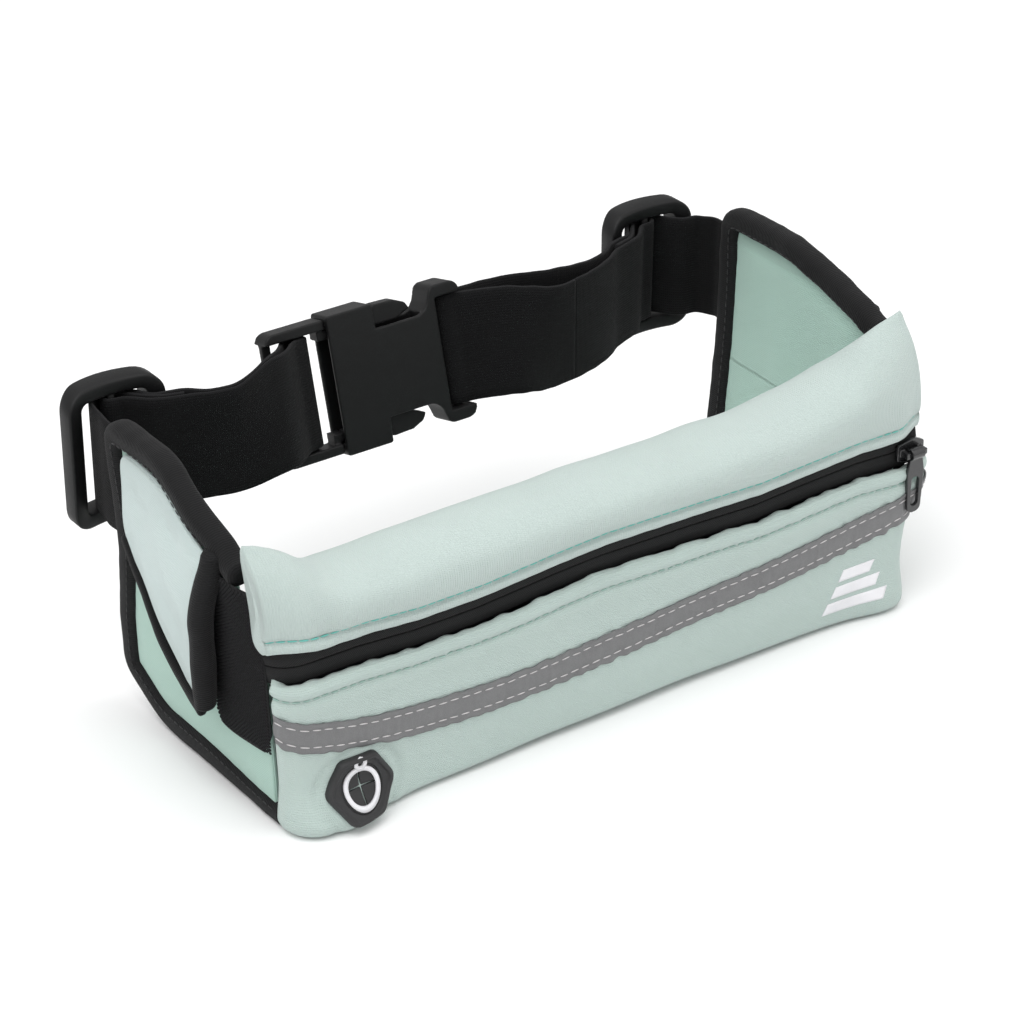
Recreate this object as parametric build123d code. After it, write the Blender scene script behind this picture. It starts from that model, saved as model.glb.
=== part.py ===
from build123d import *
import os
from math import atan2, cos, degrees, radians, sin

# A runner's waist pack: a padded knit pouch with a front zip, two bound wings with slip pockets,
# and an elastic belt with two slide adjusters and a side-release buckle. Millimetres, +Z up,
# the pouch faces -Y, +X runs to the wearer's zip end. The origin is the centre of the foot print.

# ---- driving dimensions -------------------------------------------------------------------
POUCH_LENGTH = 264.0      # end face to end face at the zip
POUCH_FLARE = 3.0         # how far each end face leans out from the floor to the zip
POUCH_DEPTH = 34.0        # front face to the back panel's rear face
POUCH_BACK = -36.0        # rear face of the back panel
KNIT = 3.0                # padded knit
CORNER = 9.0              # plan radius of the pouch's front corners
FOLD = 4.0                # rounded fold from the front to the bottom
ZIP_Z = 61.5              # zip centre line above the floor
ZIP_OPENING = 11.5        # tape seen between the front panel and the roll
ROLL_TOP = 87.5           # crest of the roll in the middle
ROLL_RISE_LEFT = 9.5      # how far the roll's ends stand above the middle
ROLL_RISE_RIGHT = 15.0
LEFT_REAR = 37.0          # rearmost point of each wing; the belt pulls the right one further back
RIGHT_REAR = 44.0
LEFT_WAIST = 5.0          # how far the wing's rear edge is drawn in at the belt
RIGHT_WAIST = 1.0
LEFT_TOP = 112.5
RIGHT_TOP = 115.0
LEFT_SHOULDER = 93.0      # where the wing's top edge meets the roll
RIGHT_SHOULDER = 103.0
WING_KNIT = 4.0           # the wing is two layers of knit
BINDING = 9.0             # width of the binding's faces
PROUD = 1.8               # how far the binding stands out from the knit
POCKET_MOUTH = 10.0       # pocket panel's stand-off at its mouth
STRIP_WIDTH = 11.0
STRIP_Z = 31.5
WEB_WIDTH = 40.0
WEB = 1.6                 # webbing thickness
WEB_Z = 87.0              # centre line of the belt
PLUG_X = -38.0            # joint line between the plug and the socket
BUCKLE_Y = 48.5
BUCKLE_LEAN = 15.0        # degrees, the buckle's top leans back
BUCKLE_DEPTH = 11.0
SLIDE_LENGTH = 37.0       # adjuster, along the belt
LEFT_SLIDE_IN = 10.5      # adjusters' centres, inwards from the pouch's ends
RIGHT_SLIDE_IN = 23.5
LEFT_SLIDE_Y = 46.5
RIGHT_SLIDE_Y = 57.0
SLIDER_IN = 5.0           # slider at rest, inwards from the pouch's right end
FIT = 0.25                # clearance between pieces that move on each other
SEAM = 0.3                # gap between soft pieces

# ---- thin cloths and pocket ----------------------------------------------------------------
LINING = 0.8
MESH = 1.0
POCKET_KNIT = 2.4
POCKET_SETBACK = 36.0     # pocket's mouth behind the pouch's front
POCKET_FOOT = 36.0
MOUTH_TOP = 80.0
MOUTH_TUBE = 8.0
NOTCH_SETBACK = 24.0      # the wing's upper part starts behind the roll's end

# ---- zip -----------------------------------------------------------------------------------
TAPE = 0.9
COIL_GAP = 1.2            # the slider's post runs in this gap
COIL = 1.6
COIL_HEIGHT = 1.8
TAPE_BEND = 11.0
STOP = 2.4                # half height of the end stop
SLIDER_LENGTH = 12.0
SLIDER_WIDTH = 9.0
PLATE = 1.6
EYE_BORE = 1.25
EYE = 2.2
CROWN = 7.6
PULL_LENGTH = 23.0
PULL_WIDTH = 7.5
PULL = 1.5
PULL_GAP = 0.4

# ---- trim ----------------------------------------------------------------------------------
PORT_IN = 23.0            # port's centre, inwards from the left end
PORT_Z = 13.5
PORT_BORE = 7.5
PORT_WIDTH = 27.0
PORT_HEIGHT = 21.0
MARK_IN = 27.0
MARK_Z = 15.5

# ---- hardware ------------------------------------------------------------------------------
RAIL = 4.5                # height of the rails above and below the webbing
WEB_GAP = 0.5
BAR = 3.0
BAR_REACH = 6.0           # how far the adjuster bows outwards at its centre bar
COLLAR = 19.0             # depth of the socket's mouth
WINDOW_END = 40.0
SOCKET_LENGTH = 55.0
PLUG_BASE = 24.0
WALL = 1.8
LOOP_BAR = 10.0           # centre of the plug's webbing bar from the joint line
SOCKET_BAR = 50.0         # centre of the socket's webbing bar
ARM = 3.5
ARM_PIVOT = 2.0           # the arms flex here, just inside the collar
ARM_IN = 16.5             # inner side of each arm from the centre line
HEAD_TIP = 35.5
LATCH = 3.5               # how far each head stands out behind the collar
ROOT = 2.8                # length of the block that joins each arm to the plug's rail

# ---- derived ------------------------------------------------------------------------------
FRONT = POUCH_BACK - POUCH_DEPTH
HALF = POUCH_LENGTH / 2
FOOT = HALF - POUCH_FLARE
FRONT_TOP = ZIP_Z - ZIP_OPENING / 2
ROLL_BASE = ZIP_Z + ZIP_OPENING / 2
LEAN = degrees(atan2(HALF - FOOT, ZIP_Z))
FLARE = (HALF - FOOT) / ZIP_Z
END_SEAM = FRONT + CORNER
ROLL_NOTCH = FRONT + NOTCH_SETBACK
POCKET_FRONT = FRONT + POCKET_SETBACK
TAPE_Y = FRONT + KNIT + SEAM              # outer face of the tapes
COIL_LEFT = -HALF + 16.0
COIL_RIGHT = HALF - 1.0
SLIDER_X = HALF - SLIDER_IN
PLATE_OUT = TAPE_Y - FIT - PLATE          # outer face of the slider's front plate
PIVOT_Y = FRONT - PULL / 2 - PULL_GAP      # the pull hangs clear of the front
PORT_X = -FOOT + PORT_IN
MARK_X = FOOT - MARK_IN
HARDWARE = WEB_WIDTH / 2 + WEB_GAP + RAIL
LEFT_SLIDE = (-HALF + LEFT_SLIDE_IN, LEFT_SLIDE_Y)
RIGHT_SLIDE = (HALF - RIGHT_SLIDE_IN, RIGHT_SLIDE_Y)
LEFT_EXIT = (-FOOT - FLARE * WEB_Z + WING_KNIT / 2, LEFT_REAR - LEFT_WAIST + 0.2)
RIGHT_EXIT = (FOOT + FLARE * WEB_Z - WING_KNIT / 2, RIGHT_REAR - RIGHT_WAIST + 0.2)
REAR_LEG = BAR / 2 + FIT + WEB / 2 + 0.1  # a leg's centre line from the buckle bar's
LOOP_REACH = 20.0                         # the loop round the buckle's bar keeps its shape this far
LEG_START = 22.0                          # where the free legs start from the adjuster's centre
LEFT_DRAWN = 51.5                         # free lengths that the legs' points were drawn for
RIGHT_DRAWN = 74.5
LEFT_LEAN = (PLUG_X - 48, PLUG_X - 26)    # x where a strap is upright, and where it leans fully
RIGHT_LEAN = (PLUG_X + 90, PLUG_X + 64)
CLEAR = POUCH_LENGTH                      # half size of a cutting box well clear of the pack

parts = {}


def box(x0, x1, y0, y1, z0, z1):
    return Pos((x0 + x1) / 2, (y0 + y1) / 2, (z0 + z1) / 2) * Box(x1 - x0, y1 - y0, z1 - z0)


def outline(points):
    """A closed face through (u, v, radius) corners."""
    face = make_face(Polyline(*[(u, v) for u, v, r in points], close=True))
    for u, v, r in points:
        if r:
            face = fillet(face.vertices().sort_by_distance((u, v, 0))[0], r)
    return face


def slab(face, low, high):
    return Pos(0, 0, low) * extrude(face, high - low)


def mirrored(solid):
    return mirror(solid, Plane.YZ)


# ---- pouch --------------------------------------------------------------------------------
def pouch_plan(grow, back):
    """Plan of the pouch's outside, grown outwards, at the floor and at the zip."""
    faces = []
    for half, z in ((FOOT, 0), (HALF - FLARE * (ZIP_Z - FRONT_TOP), FRONT_TOP)):
        front = FRONT - grow
        rect = Pos(0, (front + back) / 2) * Rectangle(2 * (half + grow), back - front)
        corners = rect.vertices().sort_by(Axis.Y)[:2]
        faces.append(Pos(0, 0, z) * fillet(corners, CORNER + grow))
    return loft(faces)


def make_front_panel():
    beyond = POUCH_BACK + 20
    shell = pouch_plan(0, beyond) - Pos(0, 0, KNIT) * pouch_plan(-KNIT, beyond)
    shell &= box(-CLEAR, CLEAR, FRONT - 20, END_SEAM, -5, FRONT_TOP)
    rim = shell.edges().filter_by(Axis.X).sort_by(Axis.Y)[:2].sort_by(Axis.Z)[0]
    shell = fillet(rim, FOLD - 1)
    inner = FOOT - WING_KNIT - SEAM
    bottom = box(-inner, inner, END_SEAM - 1, POUCH_BACK - KNIT - SEAM, 0, KNIT)
    port = Pos(PORT_X, FRONT, PORT_Z) * Rot(90, 0, 0) * Cylinder(PORT_BORE, 3 * KNIT)
    return shell + bottom - port


def make_back_panel():
    foot, top = (half - WING_KNIT - SEAM for half in (FOOT, FOOT + FLARE * ROLL_BASE))
    face = make_face(Polyline((-foot, 0), (foot, 0), (top, ROLL_BASE), (-top, ROLL_BASE), close=True))
    return Pos(0, POUCH_BACK, 0) * Rot(90, 0, 0) * extrude(face, KNIT)


def make_lining():
    gap = WING_KNIT + SEAM + 0.3
    rear = POUCH_BACK - gap
    low = gap
    room = box(-CLEAR, CLEAR, FRONT - 5, rear, low, FRONT_TOP - 4)
    hollow = box(-CLEAR, CLEAR, FRONT - 5, rear - LINING, low + LINING, FRONT_TOP + 5)
    bag = (pouch_plan(-gap, 0) & room) - (pouch_plan(-gap - LINING, 0) & hollow)
    port = Pos(PORT_X, FRONT, PORT_Z) * Rot(90, 0, 0) * Cylinder(PORT_BORE, 4 * KNIT)
    return bag - port


def roll_section(x, top, front, back):
    """D-shaped section of the roll: flat base on the zip and the back panel, round crest."""
    low = (front + 1.5, ROLL_BASE)
    rear = (back, ROLL_BASE)
    height = top - ROLL_BASE
    depth = back - front
    crest = [
        (back + 0.5, ROLL_BASE + 0.45 * height),
        (back - 0.22 * depth, top - 0.12 * height),
        (back - 0.55 * depth, top),
        (front + 0.14 * depth, top - 0.22 * height),
        (front, ROLL_BASE + 0.36 * height),
    ]
    wire = [Line(low, rear), Spline(rear, *crest, low)]
    plane = Plane(origin=(x, 0, 0), x_dir=(0, 1, 0), z_dir=(1, 0, 0))
    return plane * make_face(wire)


def make_roll():
    end = HALF + 1.5
    stations = [
        (-end, ROLL_TOP + ROLL_RISE_LEFT, -1.5),
        (-0.9 * end, ROLL_TOP + 0.35 * ROLL_RISE_LEFT, 0.5),
        (-0.75 * end, ROLL_TOP, 1.5),
        (0, ROLL_TOP, 0),
        (0.66 * end, ROLL_TOP + 0.12 * ROLL_RISE_RIGHT, 0.5),
        (0.86 * end, ROLL_TOP + 0.5 * ROLL_RISE_RIGHT, -0.5),
        (end, ROLL_TOP + ROLL_RISE_RIGHT, -1.5),
    ]
    faces = [roll_section(x, top, FRONT - 1.5 - bulge, POUCH_BACK) for x, top, bulge in stations]
    roll = loft(faces)
    for clear in (wing_room(), mirrored(wing_room())):
        roll -= clear
    return roll


# ---- wings --------------------------------------------------------------------------------
# Each wing is drawn flat: u runs rearwards along Y, v up the wing, depth inwards from its outer
# face. The frame leans with the pouch's end face.
WING_FRAME = Plane(
    origin=(-FOOT, 0, 0), x_dir=(0, 1, 0), z_dir=(cos(radians(LEAN)), 0, sin(radians(LEAN)))
)


def wing_corners(wing):
    rear, waist, top, shoulder = wing
    return [
        (END_SEAM + SEAM, 0, 0),
        (rear - 24, 0, 30),
        (rear, 13, 10),
        (rear - 1, 36, 30),
        (rear - waist - 1, 64, 60),
        (rear - waist, top, 11),
        (rear - 43, top, 30),
        (ROLL_NOTCH + 4, shoulder, 8),
        (ROLL_NOTCH, shoulder, 0),
        (ROLL_NOTCH, FRONT_TOP, 0),
        (END_SEAM + SEAM, FRONT_TOP, 0),
    ]


def wing_room():
    """Room round the wing's upper part, which the roll's end leaves free."""
    face = make_face(
        Polyline((ROLL_NOTCH - SEAM, 0), (40, 0), (40, 200), (ROLL_NOTCH - SEAM, 200), close=True)
    )
    return WING_FRAME * slab(face, -30, WING_KNIT + PROUD + SEAM)


def make_wing(wing):
    face = offset(outline(wing_corners(wing)), -1.0, kind=Kind.INTERSECTION)
    return slab(face, 0, WING_KNIT)


def make_wing_binding(wing):
    face = outline(wing_corners(wing))
    ring = face - offset(face, -BINDING, kind=Kind.ARC)
    bound = slab(ring, -PROUD, WING_KNIT + PROUD)
    unbound = ROLL_NOTCH + BINDING + 1
    bound -= box(-100, unbound, BINDING, wing[3] - BINDING, -20, 20)
    bound -= box(-100, POUCH_BACK + SEAM, -1, ROLL_BASE, WING_KNIT - 0.5, 20)
    return bound - make_wing(wing)


# The pocket is hinged in plan: flat on the wing at the rear, standing off at its mouth.


def pocket_corners(wing, grow):
    rear, waist, top, _ = wing
    back = rear - waist - BINDING - 1 - SEAM
    high = top - BINDING - SEAM - 1
    return [
        (POCKET_FRONT - grow, POCKET_FOOT - 1.6 * grow, 3),
        (POCKET_FRONT + 14, POCKET_FOOT + 2 - 1.3 * grow, 12),
        (back, 70 - 1.3 * grow, 20),
        (back, high, 9),
        (rear - 43, high - 5, 24),
        (POCKET_FRONT - grow, MOUTH_TOP, 3),
    ]


def pocket_frame(wing):
    """Turned about the panel's rear edge, so that the mouth stands off the wing."""
    back = wing[0] - wing[1] - BINDING
    angle = degrees(atan2(POCKET_MOUTH - POCKET_KNIT, back - POCKET_FRONT))
    hinge = Plane(origin=(back, 0, -POCKET_KNIT - SEAM), x_dir=(1, 0, 0), z_dir=(0, 0, 1))
    return hinge.rotated((0, -angle, 0)), back


def make_pocket(wing):
    frame, back = pocket_frame(wing)
    face = Pos(-back, 0) * outline(pocket_corners(wing, 0))
    return frame * slab(face, 0, POCKET_KNIT)


def make_pocket_binding(wing):
    frame, back = pocket_frame(wing)
    edge = outline(pocket_corners(wing, 5)) - outline(pocket_corners(wing, 0))
    front = POCKET_FRONT - 5
    foot = POCKET_FOOT - 8
    mouth = outline([(front, foot, 4), (front + MOUTH_TUBE, foot, 4),
                     (front + MOUTH_TUBE, MOUTH_TOP, 0), (front, MOUTH_TOP, 0)])
    tube = slab(Pos(-back, 0) * mouth, -2.5, POCKET_KNIT + 1.2)
    bound = slab(Pos(-back, 0) * edge, -PROUD, POCKET_KNIT) + tube
    bound &= box(-CLEAR, CLEAR, 0, MOUTH_TOP, -50, 50)
    return frame * bound - make_pocket(wing)


def make_gusset():
    face = outline([
        (END_SEAM + SEAM, 27, 8),
        (POCKET_FRONT + 8, 27, 8),
        (POCKET_FRONT + 8, FRONT_TOP - 1, 0),
        (END_SEAM + SEAM, FRONT_TOP - 1, 0),
    ])
    return slab(face, -MESH - 0.1, -0.1)


# ---- zip ----------------------------------------------------------------------------------


def make_tape(low, high):
    """One tape along the front, turned round the left corner onto the end face."""
    side = -(HALF + FLARE * ZIP_OPENING / 2 + TAPE + SEAM)
    turn = side + TAPE_BEND
    back = POUCH_BACK - 4
    path = Line((HALF - 1, TAPE_Y), (turn, TAPE_Y))
    path += TangentArc((turn, TAPE_Y), (side, TAPE_Y + TAPE_BEND), tangent=(-1, 0))
    path += Line((side, TAPE_Y + TAPE_BEND), (side, back))
    outer = make_face(path + Line((side, back), (side + TAPE, back))
                      + Line((side + TAPE, back), (side + TAPE, TAPE_Y + TAPE_BEND))
                      + TangentArc((side + TAPE, TAPE_Y + TAPE_BEND), (turn, TAPE_Y + TAPE), tangent=(0, -1))
                      + Line((turn, TAPE_Y + TAPE), (HALF - 1, TAPE_Y + TAPE))
                      + Line((HALF - 1, TAPE_Y + TAPE), (HALF - 1, TAPE_Y)))
    return slab(outer, low, high)


def make_coil(low, high):
    return box(COIL_LEFT, COIL_RIGHT, TAPE_Y + TAPE, TAPE_Y + TAPE + COIL, low, high)


def make_stop(x):
    return box(x, x + 2.0, TAPE_Y + TAPE, TAPE_Y + TAPE + COIL, ZIP_Z - STOP, ZIP_Z + STOP)


def make_slider():
    half = SLIDER_LENGTH / 2
    wide = SLIDER_WIDTH / 2
    plate = outline([(-half, -wide + 1.5, 1), (-half, wide - 1.5, 1), (half - 4, wide, 1),
                     (half, wide - 2, 1), (half, -wide + 2, 1), (half - 4, -wide, 1)])
    upright = Plane(origin=(SLIDER_X, PLATE_OUT, ZIP_Z), x_dir=(1, 0, 0), z_dir=(0, 1, 0))
    behind = TAPE_Y + TAPE + COIL + FIT - PLATE_OUT
    body = upright * slab(plate, 0, PLATE) + upright * slab(plate, behind, behind + PLATE)
    post = COIL_GAP / 2 - 0.15
    body += box(SLIDER_X + half - 4, SLIDER_X + half - 1, PLATE_OUT + 0.5,
                PLATE_OUT + behind + 0.5, ZIP_Z - post, ZIP_Z + post)
    for side in (-1, 1):
        x = SLIDER_X + side * CROWN / 2
        body += box(x - 0.8, x + 0.8, PIVOT_Y - 1, PLATE_OUT + 0.3, ZIP_Z - 1.1, ZIP_Z + 1.1)
    bar = Pos(SLIDER_X, PIVOT_Y, ZIP_Z) * Rot(0, 90, 0) * Cylinder(EYE_BORE - FIT, CROWN)
    return body + bar


def make_pull():
    """Tab that hangs from the crown by a rolled eye."""
    wide = CROWN - 1.6 - 2 * FIT
    eye = Cylinder(EYE, wide) - Cylinder(EYE_BORE, wide + 2)
    eye = Pos(SLIDER_X, PIVOT_Y, ZIP_Z) * Rot(0, 90, 0) * eye
    tab = outline([
        (-wide / 2, -EYE_BORE - 0.3, 0), (wide / 2, -EYE_BORE - 0.3, 0), (PULL_WIDTH / 2, -7, 2),
        (PULL_WIDTH / 2 - 0.8, -PULL_LENGTH, 2.5), (-PULL_WIDTH / 2 + 0.8, -PULL_LENGTH, 2.5),
        (-PULL_WIDTH / 2, -7, 2),
    ])
    slot = Pos(0, -0.64 * PULL_LENGTH) * RectangleRounded(PULL_WIDTH - 4, 0.5 * PULL_LENGTH, 1.5)
    upright = Plane(origin=(SLIDER_X, PIVOT_Y + PULL / 2, ZIP_Z), x_dir=(1, 0, 0), z_dir=(0, -1, 0))
    return eye + upright * extrude(tab - slot, PULL)


# ---- trim on the front --------------------------------------------------------------------


def make_strip():
    grown = pouch_plan(0.9, POUCH_BACK) - pouch_plan(0.1, POUCH_BACK + 5)
    low = STRIP_Z - STRIP_WIDTH / 2
    return grown & box(-CLEAR, CLEAR, FRONT - 5, END_SEAM, low, low + STRIP_WIDTH)


def on_front(face, low, high):
    """Raise a face drawn in (x, z) from the pouch's front, low and high measured outwards."""
    plane = Plane(origin=(0, FRONT, 0), x_dir=(1, 0, 0), z_dir=(0, -1, 0))
    return plane * slab(face, low, high)


def make_grommet():
    wide, high = PORT_WIDTH / 2, PORT_HEIGHT / 2
    hexagon = outline([(-wide, 0, 3), (-wide / 2, high, 3), (wide / 2, high, 3),
                       (wide, 0, 3), (wide / 2, -high, 3), (-wide / 2, -high, 3)])
    bore = Circle(PORT_BORE + FIT)
    frame = on_front(Pos(PORT_X, PORT_Z) * (hexagon - bore), 0, 2.0)
    rim = on_front(Pos(PORT_X, PORT_Z) * (offset(hexagon, -1) - offset(hexagon, -2.2)), 2.0, 2.8)
    return frame + rim


def make_membrane():
    disc = Circle(PORT_BORE) - Rectangle(7, 0.5) - Rectangle(0.5, 7)
    return on_front(Pos(PORT_X, PORT_Z) * disc, 0.2, 1.4)


def make_ring():
    face = Circle(6.9) - Circle(5.3)
    return on_front(Pos(PORT_X, PORT_Z) * face, 1.4, 1.7)


def make_emblem():
    """Three slanted bars, a plain mark of motion."""
    bars = Sketch()
    for i, length in enumerate((26.0, 20.0, 14.0)):
        bar = make_face(Polyline((0, 0), (length, 0), (length + 2.2, 4.2), (2.2, 4.2), close=True))
        bars += Pos(-13 + 3.2 * i, -8 + 6.0 * i) * bar
    return on_front(Pos(MARK_X, MARK_Z) * bars, 0, 0.4)


# ---- belt hardware ------------------------------------------------------------------------


def rounded_bar(wide, thick):
    """Webbing bar that spans from rail to rail, with rounded long edges."""
    return extrude(RectangleRounded(wide, thick, 0.9), WEB_WIDTH / 2 + WEB_GAP + 0.5, both=True)


def make_adjuster(centre, hand):
    """Three-bar slide, bowed outwards. Along the belt: local +x points to the buckle."""
    half = SLIDE_LENGTH / 2
    bow = ThreePointArc((-half, 0), (0, BAR_REACH), (half, 0))
    rail = make_face(bow + Line((half, 0), (half, -2.8)) +
                     ThreePointArc((half, -2.8), (0, BAR_REACH - 4.6), (-half, -2.8)) +
                     Line((-half, -2.8), (-half, 0)))
    rail = Pos(0, 1.5) * rail
    inside = WEB_WIDTH / 2 + WEB_GAP
    slide = slab(rail, inside, inside + RAIL) + slab(rail, -inside - RAIL, -inside)
    for side in (-1, 1):
        slide += Pos(side * (half - 2), 0.1, 0) * Box(4, 2.8, 2 * inside + 2 * RAIL)
    slide += Pos(0, BAR_REACH - 1.3, 0) * rounded_bar(BAR, 2.5)
    slide = Pos(centre[0], centre[1], WEB_Z) * slide
    return slide if hand > 0 else mirror(slide, Plane.YZ.offset(centre[0]))


BUCKLE_FRAME = Plane(
    origin=(PLUG_X, BUCKLE_Y, WEB_Z), x_dir=(1, 0, 0),
    z_dir=(0, -cos(radians(BUCKLE_LEAN)), sin(radians(BUCKLE_LEAN)))
)


def make_plug():
    inside = WEB_WIDTH / 2 + WEB_GAP
    blank = outline([(-PLUG_BASE, -HARDWARE + 1, 4), (-FIT, -HARDWARE + 1, 0),
                     (-FIT, HARDWARE - 1, 0), (-PLUG_BASE, HARDWARE - 1, 4)])
    slot = outline([(-PLUG_BASE + 3.5, -inside, 0), (-FIT + 1, -inside, 0),
                    (-FIT + 1, inside, 0), (-PLUG_BASE + 3.5, inside, 0)])
    frame = slab(blank - slot, -4, 4)
    frame -= Pos(-PLUG_BASE + 1, 0, 0) * (box(-4, 3, -inside, inside, 1.3, 9)
                                          + box(-4, 3, -inside, inside, -9, -1.3))
    bar = Pos(-LOOP_BAR, 0, 0) * Rot(90, 0, 0) * rounded_bar(BAR, BAR)
    for side in (-1, 1):
        low, high = sorted((side * (ARM_IN + 0.2), side * (inside + 1)))
        frame += box(-ROOT, -FIT, low, high, -2.8, 2.8)
        low, high = sorted((side * (ARM_IN + 0.2), side * (ARM_IN + ARM - 0.2)))
        frame += box(-FIT - 0.5, ARM_PIVOT - 0.3, low, high, -2.8, 2.8)
    return BUCKLE_FRAME * (frame + bar)


def make_prong(side):
    """Sprung arm with its thumb pad, hinged at its root on the plug."""
    outer = ARM_IN + ARM
    heel = COLLAR + FIT + 0.1
    profile = [(ARM_PIVOT, ARM_IN), (HEAD_TIP - 6, ARM_IN), (HEAD_TIP, ARM_IN + 2.5),
               (HEAD_TIP - 1.5, outer + 1.5), (HEAD_TIP - 6, outer + LATCH),
               (heel + 2, outer + LATCH + 0.3), (heel, outer + LATCH - 0.8), (heel, outer + 0.6),
               (heel - 2.5, outer), (ARM_PIVOT, outer)]
    arm = make_face(Polyline(*[(u, side * v) for u, v in profile], close=True))
    return BUCKLE_FRAME * slab(arm, -2.6, 2.6)


def make_socket():
    half = BUCKLE_DEPTH / 2
    neck = ARM_IN - 0.5
    blank = outline([(FIT, -HARDWARE, 1), (COLLAR, -HARDWARE, 1), (COLLAR + 0.1, -neck, 0),
                     (WINDOW_END, -neck, 6), (WINDOW_END + 3, -HARDWARE, 3),
                     (SOCKET_LENGTH, -HARDWARE, 4), (SOCKET_LENGTH, HARDWARE, 4),
                     (WINDOW_END + 3, HARDWARE, 3), (WINDOW_END, neck, 6),
                     (COLLAR + 0.1, neck, 0), (COLLAR, HARDWARE, 1), (FIT, HARDWARE, 1)])
    body = slab(blank, -half, half)
    room = ARM_IN + ARM + 0.6
    body -= box(-1, WINDOW_END - 1, -room, room, -half + WALL, half - WALL)
    inside = WEB_WIDTH / 2 + WEB_GAP
    body -= box(WINDOW_END + 4.5, SOCKET_LENGTH + 1, -inside, inside, -9, 9)
    body += Pos(SOCKET_BAR, 0, 0) * Rot(90, 0, 0) * rounded_bar(BAR, BAR)
    return BUCKLE_FRAME * body


# ---- webbing ------------------------------------------------------------------------------


def slide_point(centre, hand, along, out):
    return (centre[0] + hand * along, centre[1] + out)


WEAVE = [(-3, 8.8), (0.3, 9.1), (4.6, 8.2), (9.2, 3.2), (12.6, -1.7), (17, -2.8), (22, -4.6)]
FOLDED = [(24, -10.4), (18, -8.0), (13.5, -6.4), (9.4, -4.4), (6.0, -0.8), (3.2, 1.8), (0.3, 2.35),
          (-2.0, 2.8), (-2.9, 4.75), (-2.0, 6.7), (0.3, 7.15), (3.5, 6.3), (6.7, 2.9), (10.0, -1.3),
          (13.2, -3.95), (17, -5.3), (21.5, -7.0)]


def strap_route(hand, lead, slide, bar_x, drawn, out, back):
    """Plan route of one strap: wing, over the adjuster's middle bar, round the buckle's bar, back
    round the middle bar, and sewn to itself. hand is +1 where the buckle lies towards +X. out and
    back are the two legs between, as points along from the buckle's bar and out from its plane,
    drawn for a free length that stretches with the distance from the bar to the adjuster."""
    at_slide = lambda points: [slide_point(slide, hand, *p) for p in points]
    span = abs(slide[0] - bar_x) - LEG_START
    stretch = (span - LOOP_REACH) / (drawn - LOOP_REACH)
    fitted = lambda a: a if a > -LOOP_REACH else -LOOP_REACH + (a + LOOP_REACH) * stretch
    at_bar = lambda points: [(bar_x + hand * fitted(a), BUCKLE_Y + b) for a, b in points]
    turn = [(0, REAR_LEG), (2.6, 1.35), (2.6, -1.35), (0, -REAR_LEG)]
    return lead + at_slide(WEAVE) + at_bar(out + turn + back) + at_slide(FOLDED)


def thinned(curve):
    """Stations along the route, close together where it bends and far apart where it runs straight."""
    steps = 1500
    last = 0.0
    kept = [0.0]
    for i in range(1, steps):
        t = i / steps
        turn = (curve % last).get_angle(curve % t)
        if turn > 11 or (curve @ t - curve @ last).length > 7:
            kept.append(t)
            last = t
    return kept + [1.0]


def make_strap(route, level_x, lean_x):
    """Webbing on edge along the route, upright at level_x and leaning with the buckle at lean_x."""
    curve = Spline(*[(x, y) for x, y in route])
    sections = []
    for t in thinned(curve):
        point, ahead = curve @ t, curve % t
        share = min(max((point.X - level_x) / (lean_x - level_x), 0), 1)
        lean = radians(BUCKLE_LEAN) * share * share * (3 - 2 * share)
        near = BUCKLE_Y - point.Y
        origin = (point.X, BUCKLE_Y - near * cos(lean), WEB_Z + near * sin(lean))
        along = Vector(ahead.X, ahead.Y * cos(lean), -ahead.Y * sin(lean))
        up = Vector(0, sin(lean), cos(lean))
        sections.append(Plane(origin=origin, x_dir=up, z_dir=along) * Rectangle(WEB_WIDTH, WEB))
    return loft(sections, ruled=True)


def left_route():
    x, y = LEFT_EXIT
    lead = [(x, y), (x, y + 5), (x + 0.9, y + 10), (LEFT_SLIDE[0] - 7, LEFT_SLIDE[1] + 5.2)]
    out = [(-44, -11.9), (-37, -13.6), (-29.6, -14.2), (-22.5, -13.9), (-16.8, -11.2), (-12, -7.5),
           (-8, -3), (-4.3, 1.4)]
    back = [(-3.5, -4.0), (-6.5, -7.0), (-9.5, -10.3), (-13, -13.6), (-17, -15.6), (-22.5, -16.1),
            (-29.6, -16.2), (-37, -15.8), (-44, -14.3)]
    return strap_route(1, lead, LEFT_SLIDE, PLUG_X - LOOP_BAR, LEFT_DRAWN, out, back)


def right_route():
    x, y = RIGHT_EXIT
    cx, cy = RIGHT_SLIDE
    lead = [(x, y), (x, y + 4), (x - 2.5, y + 8.4), (cx + 18, cy - 3.1), (cx + 13.6, cy - 2.5),
            (cx + 9.8, cy + 0.6), (cx + 6.6, cy + 5.6)]
    out = [(-67.5, -0.8), (-58.5, -3.1), (-47, -2.2), (-34.6, 0.9), (-22, 2.4), (-10, REAR_LEG),
           (-5, REAR_LEG)]
    back = [(-4.5, -3.1), (-10, -6.4), (-15, -10.4), (-21, -13.6), (-30, -14.6), (-39, -14.2),
            (-48.5, -12.6), (-58.5, -9.7), (-67.5, -5.4)]
    return strap_route(-1, lead, RIGHT_SLIDE, PLUG_X + SOCKET_BAR, RIGHT_DRAWN, out, back)


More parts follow.
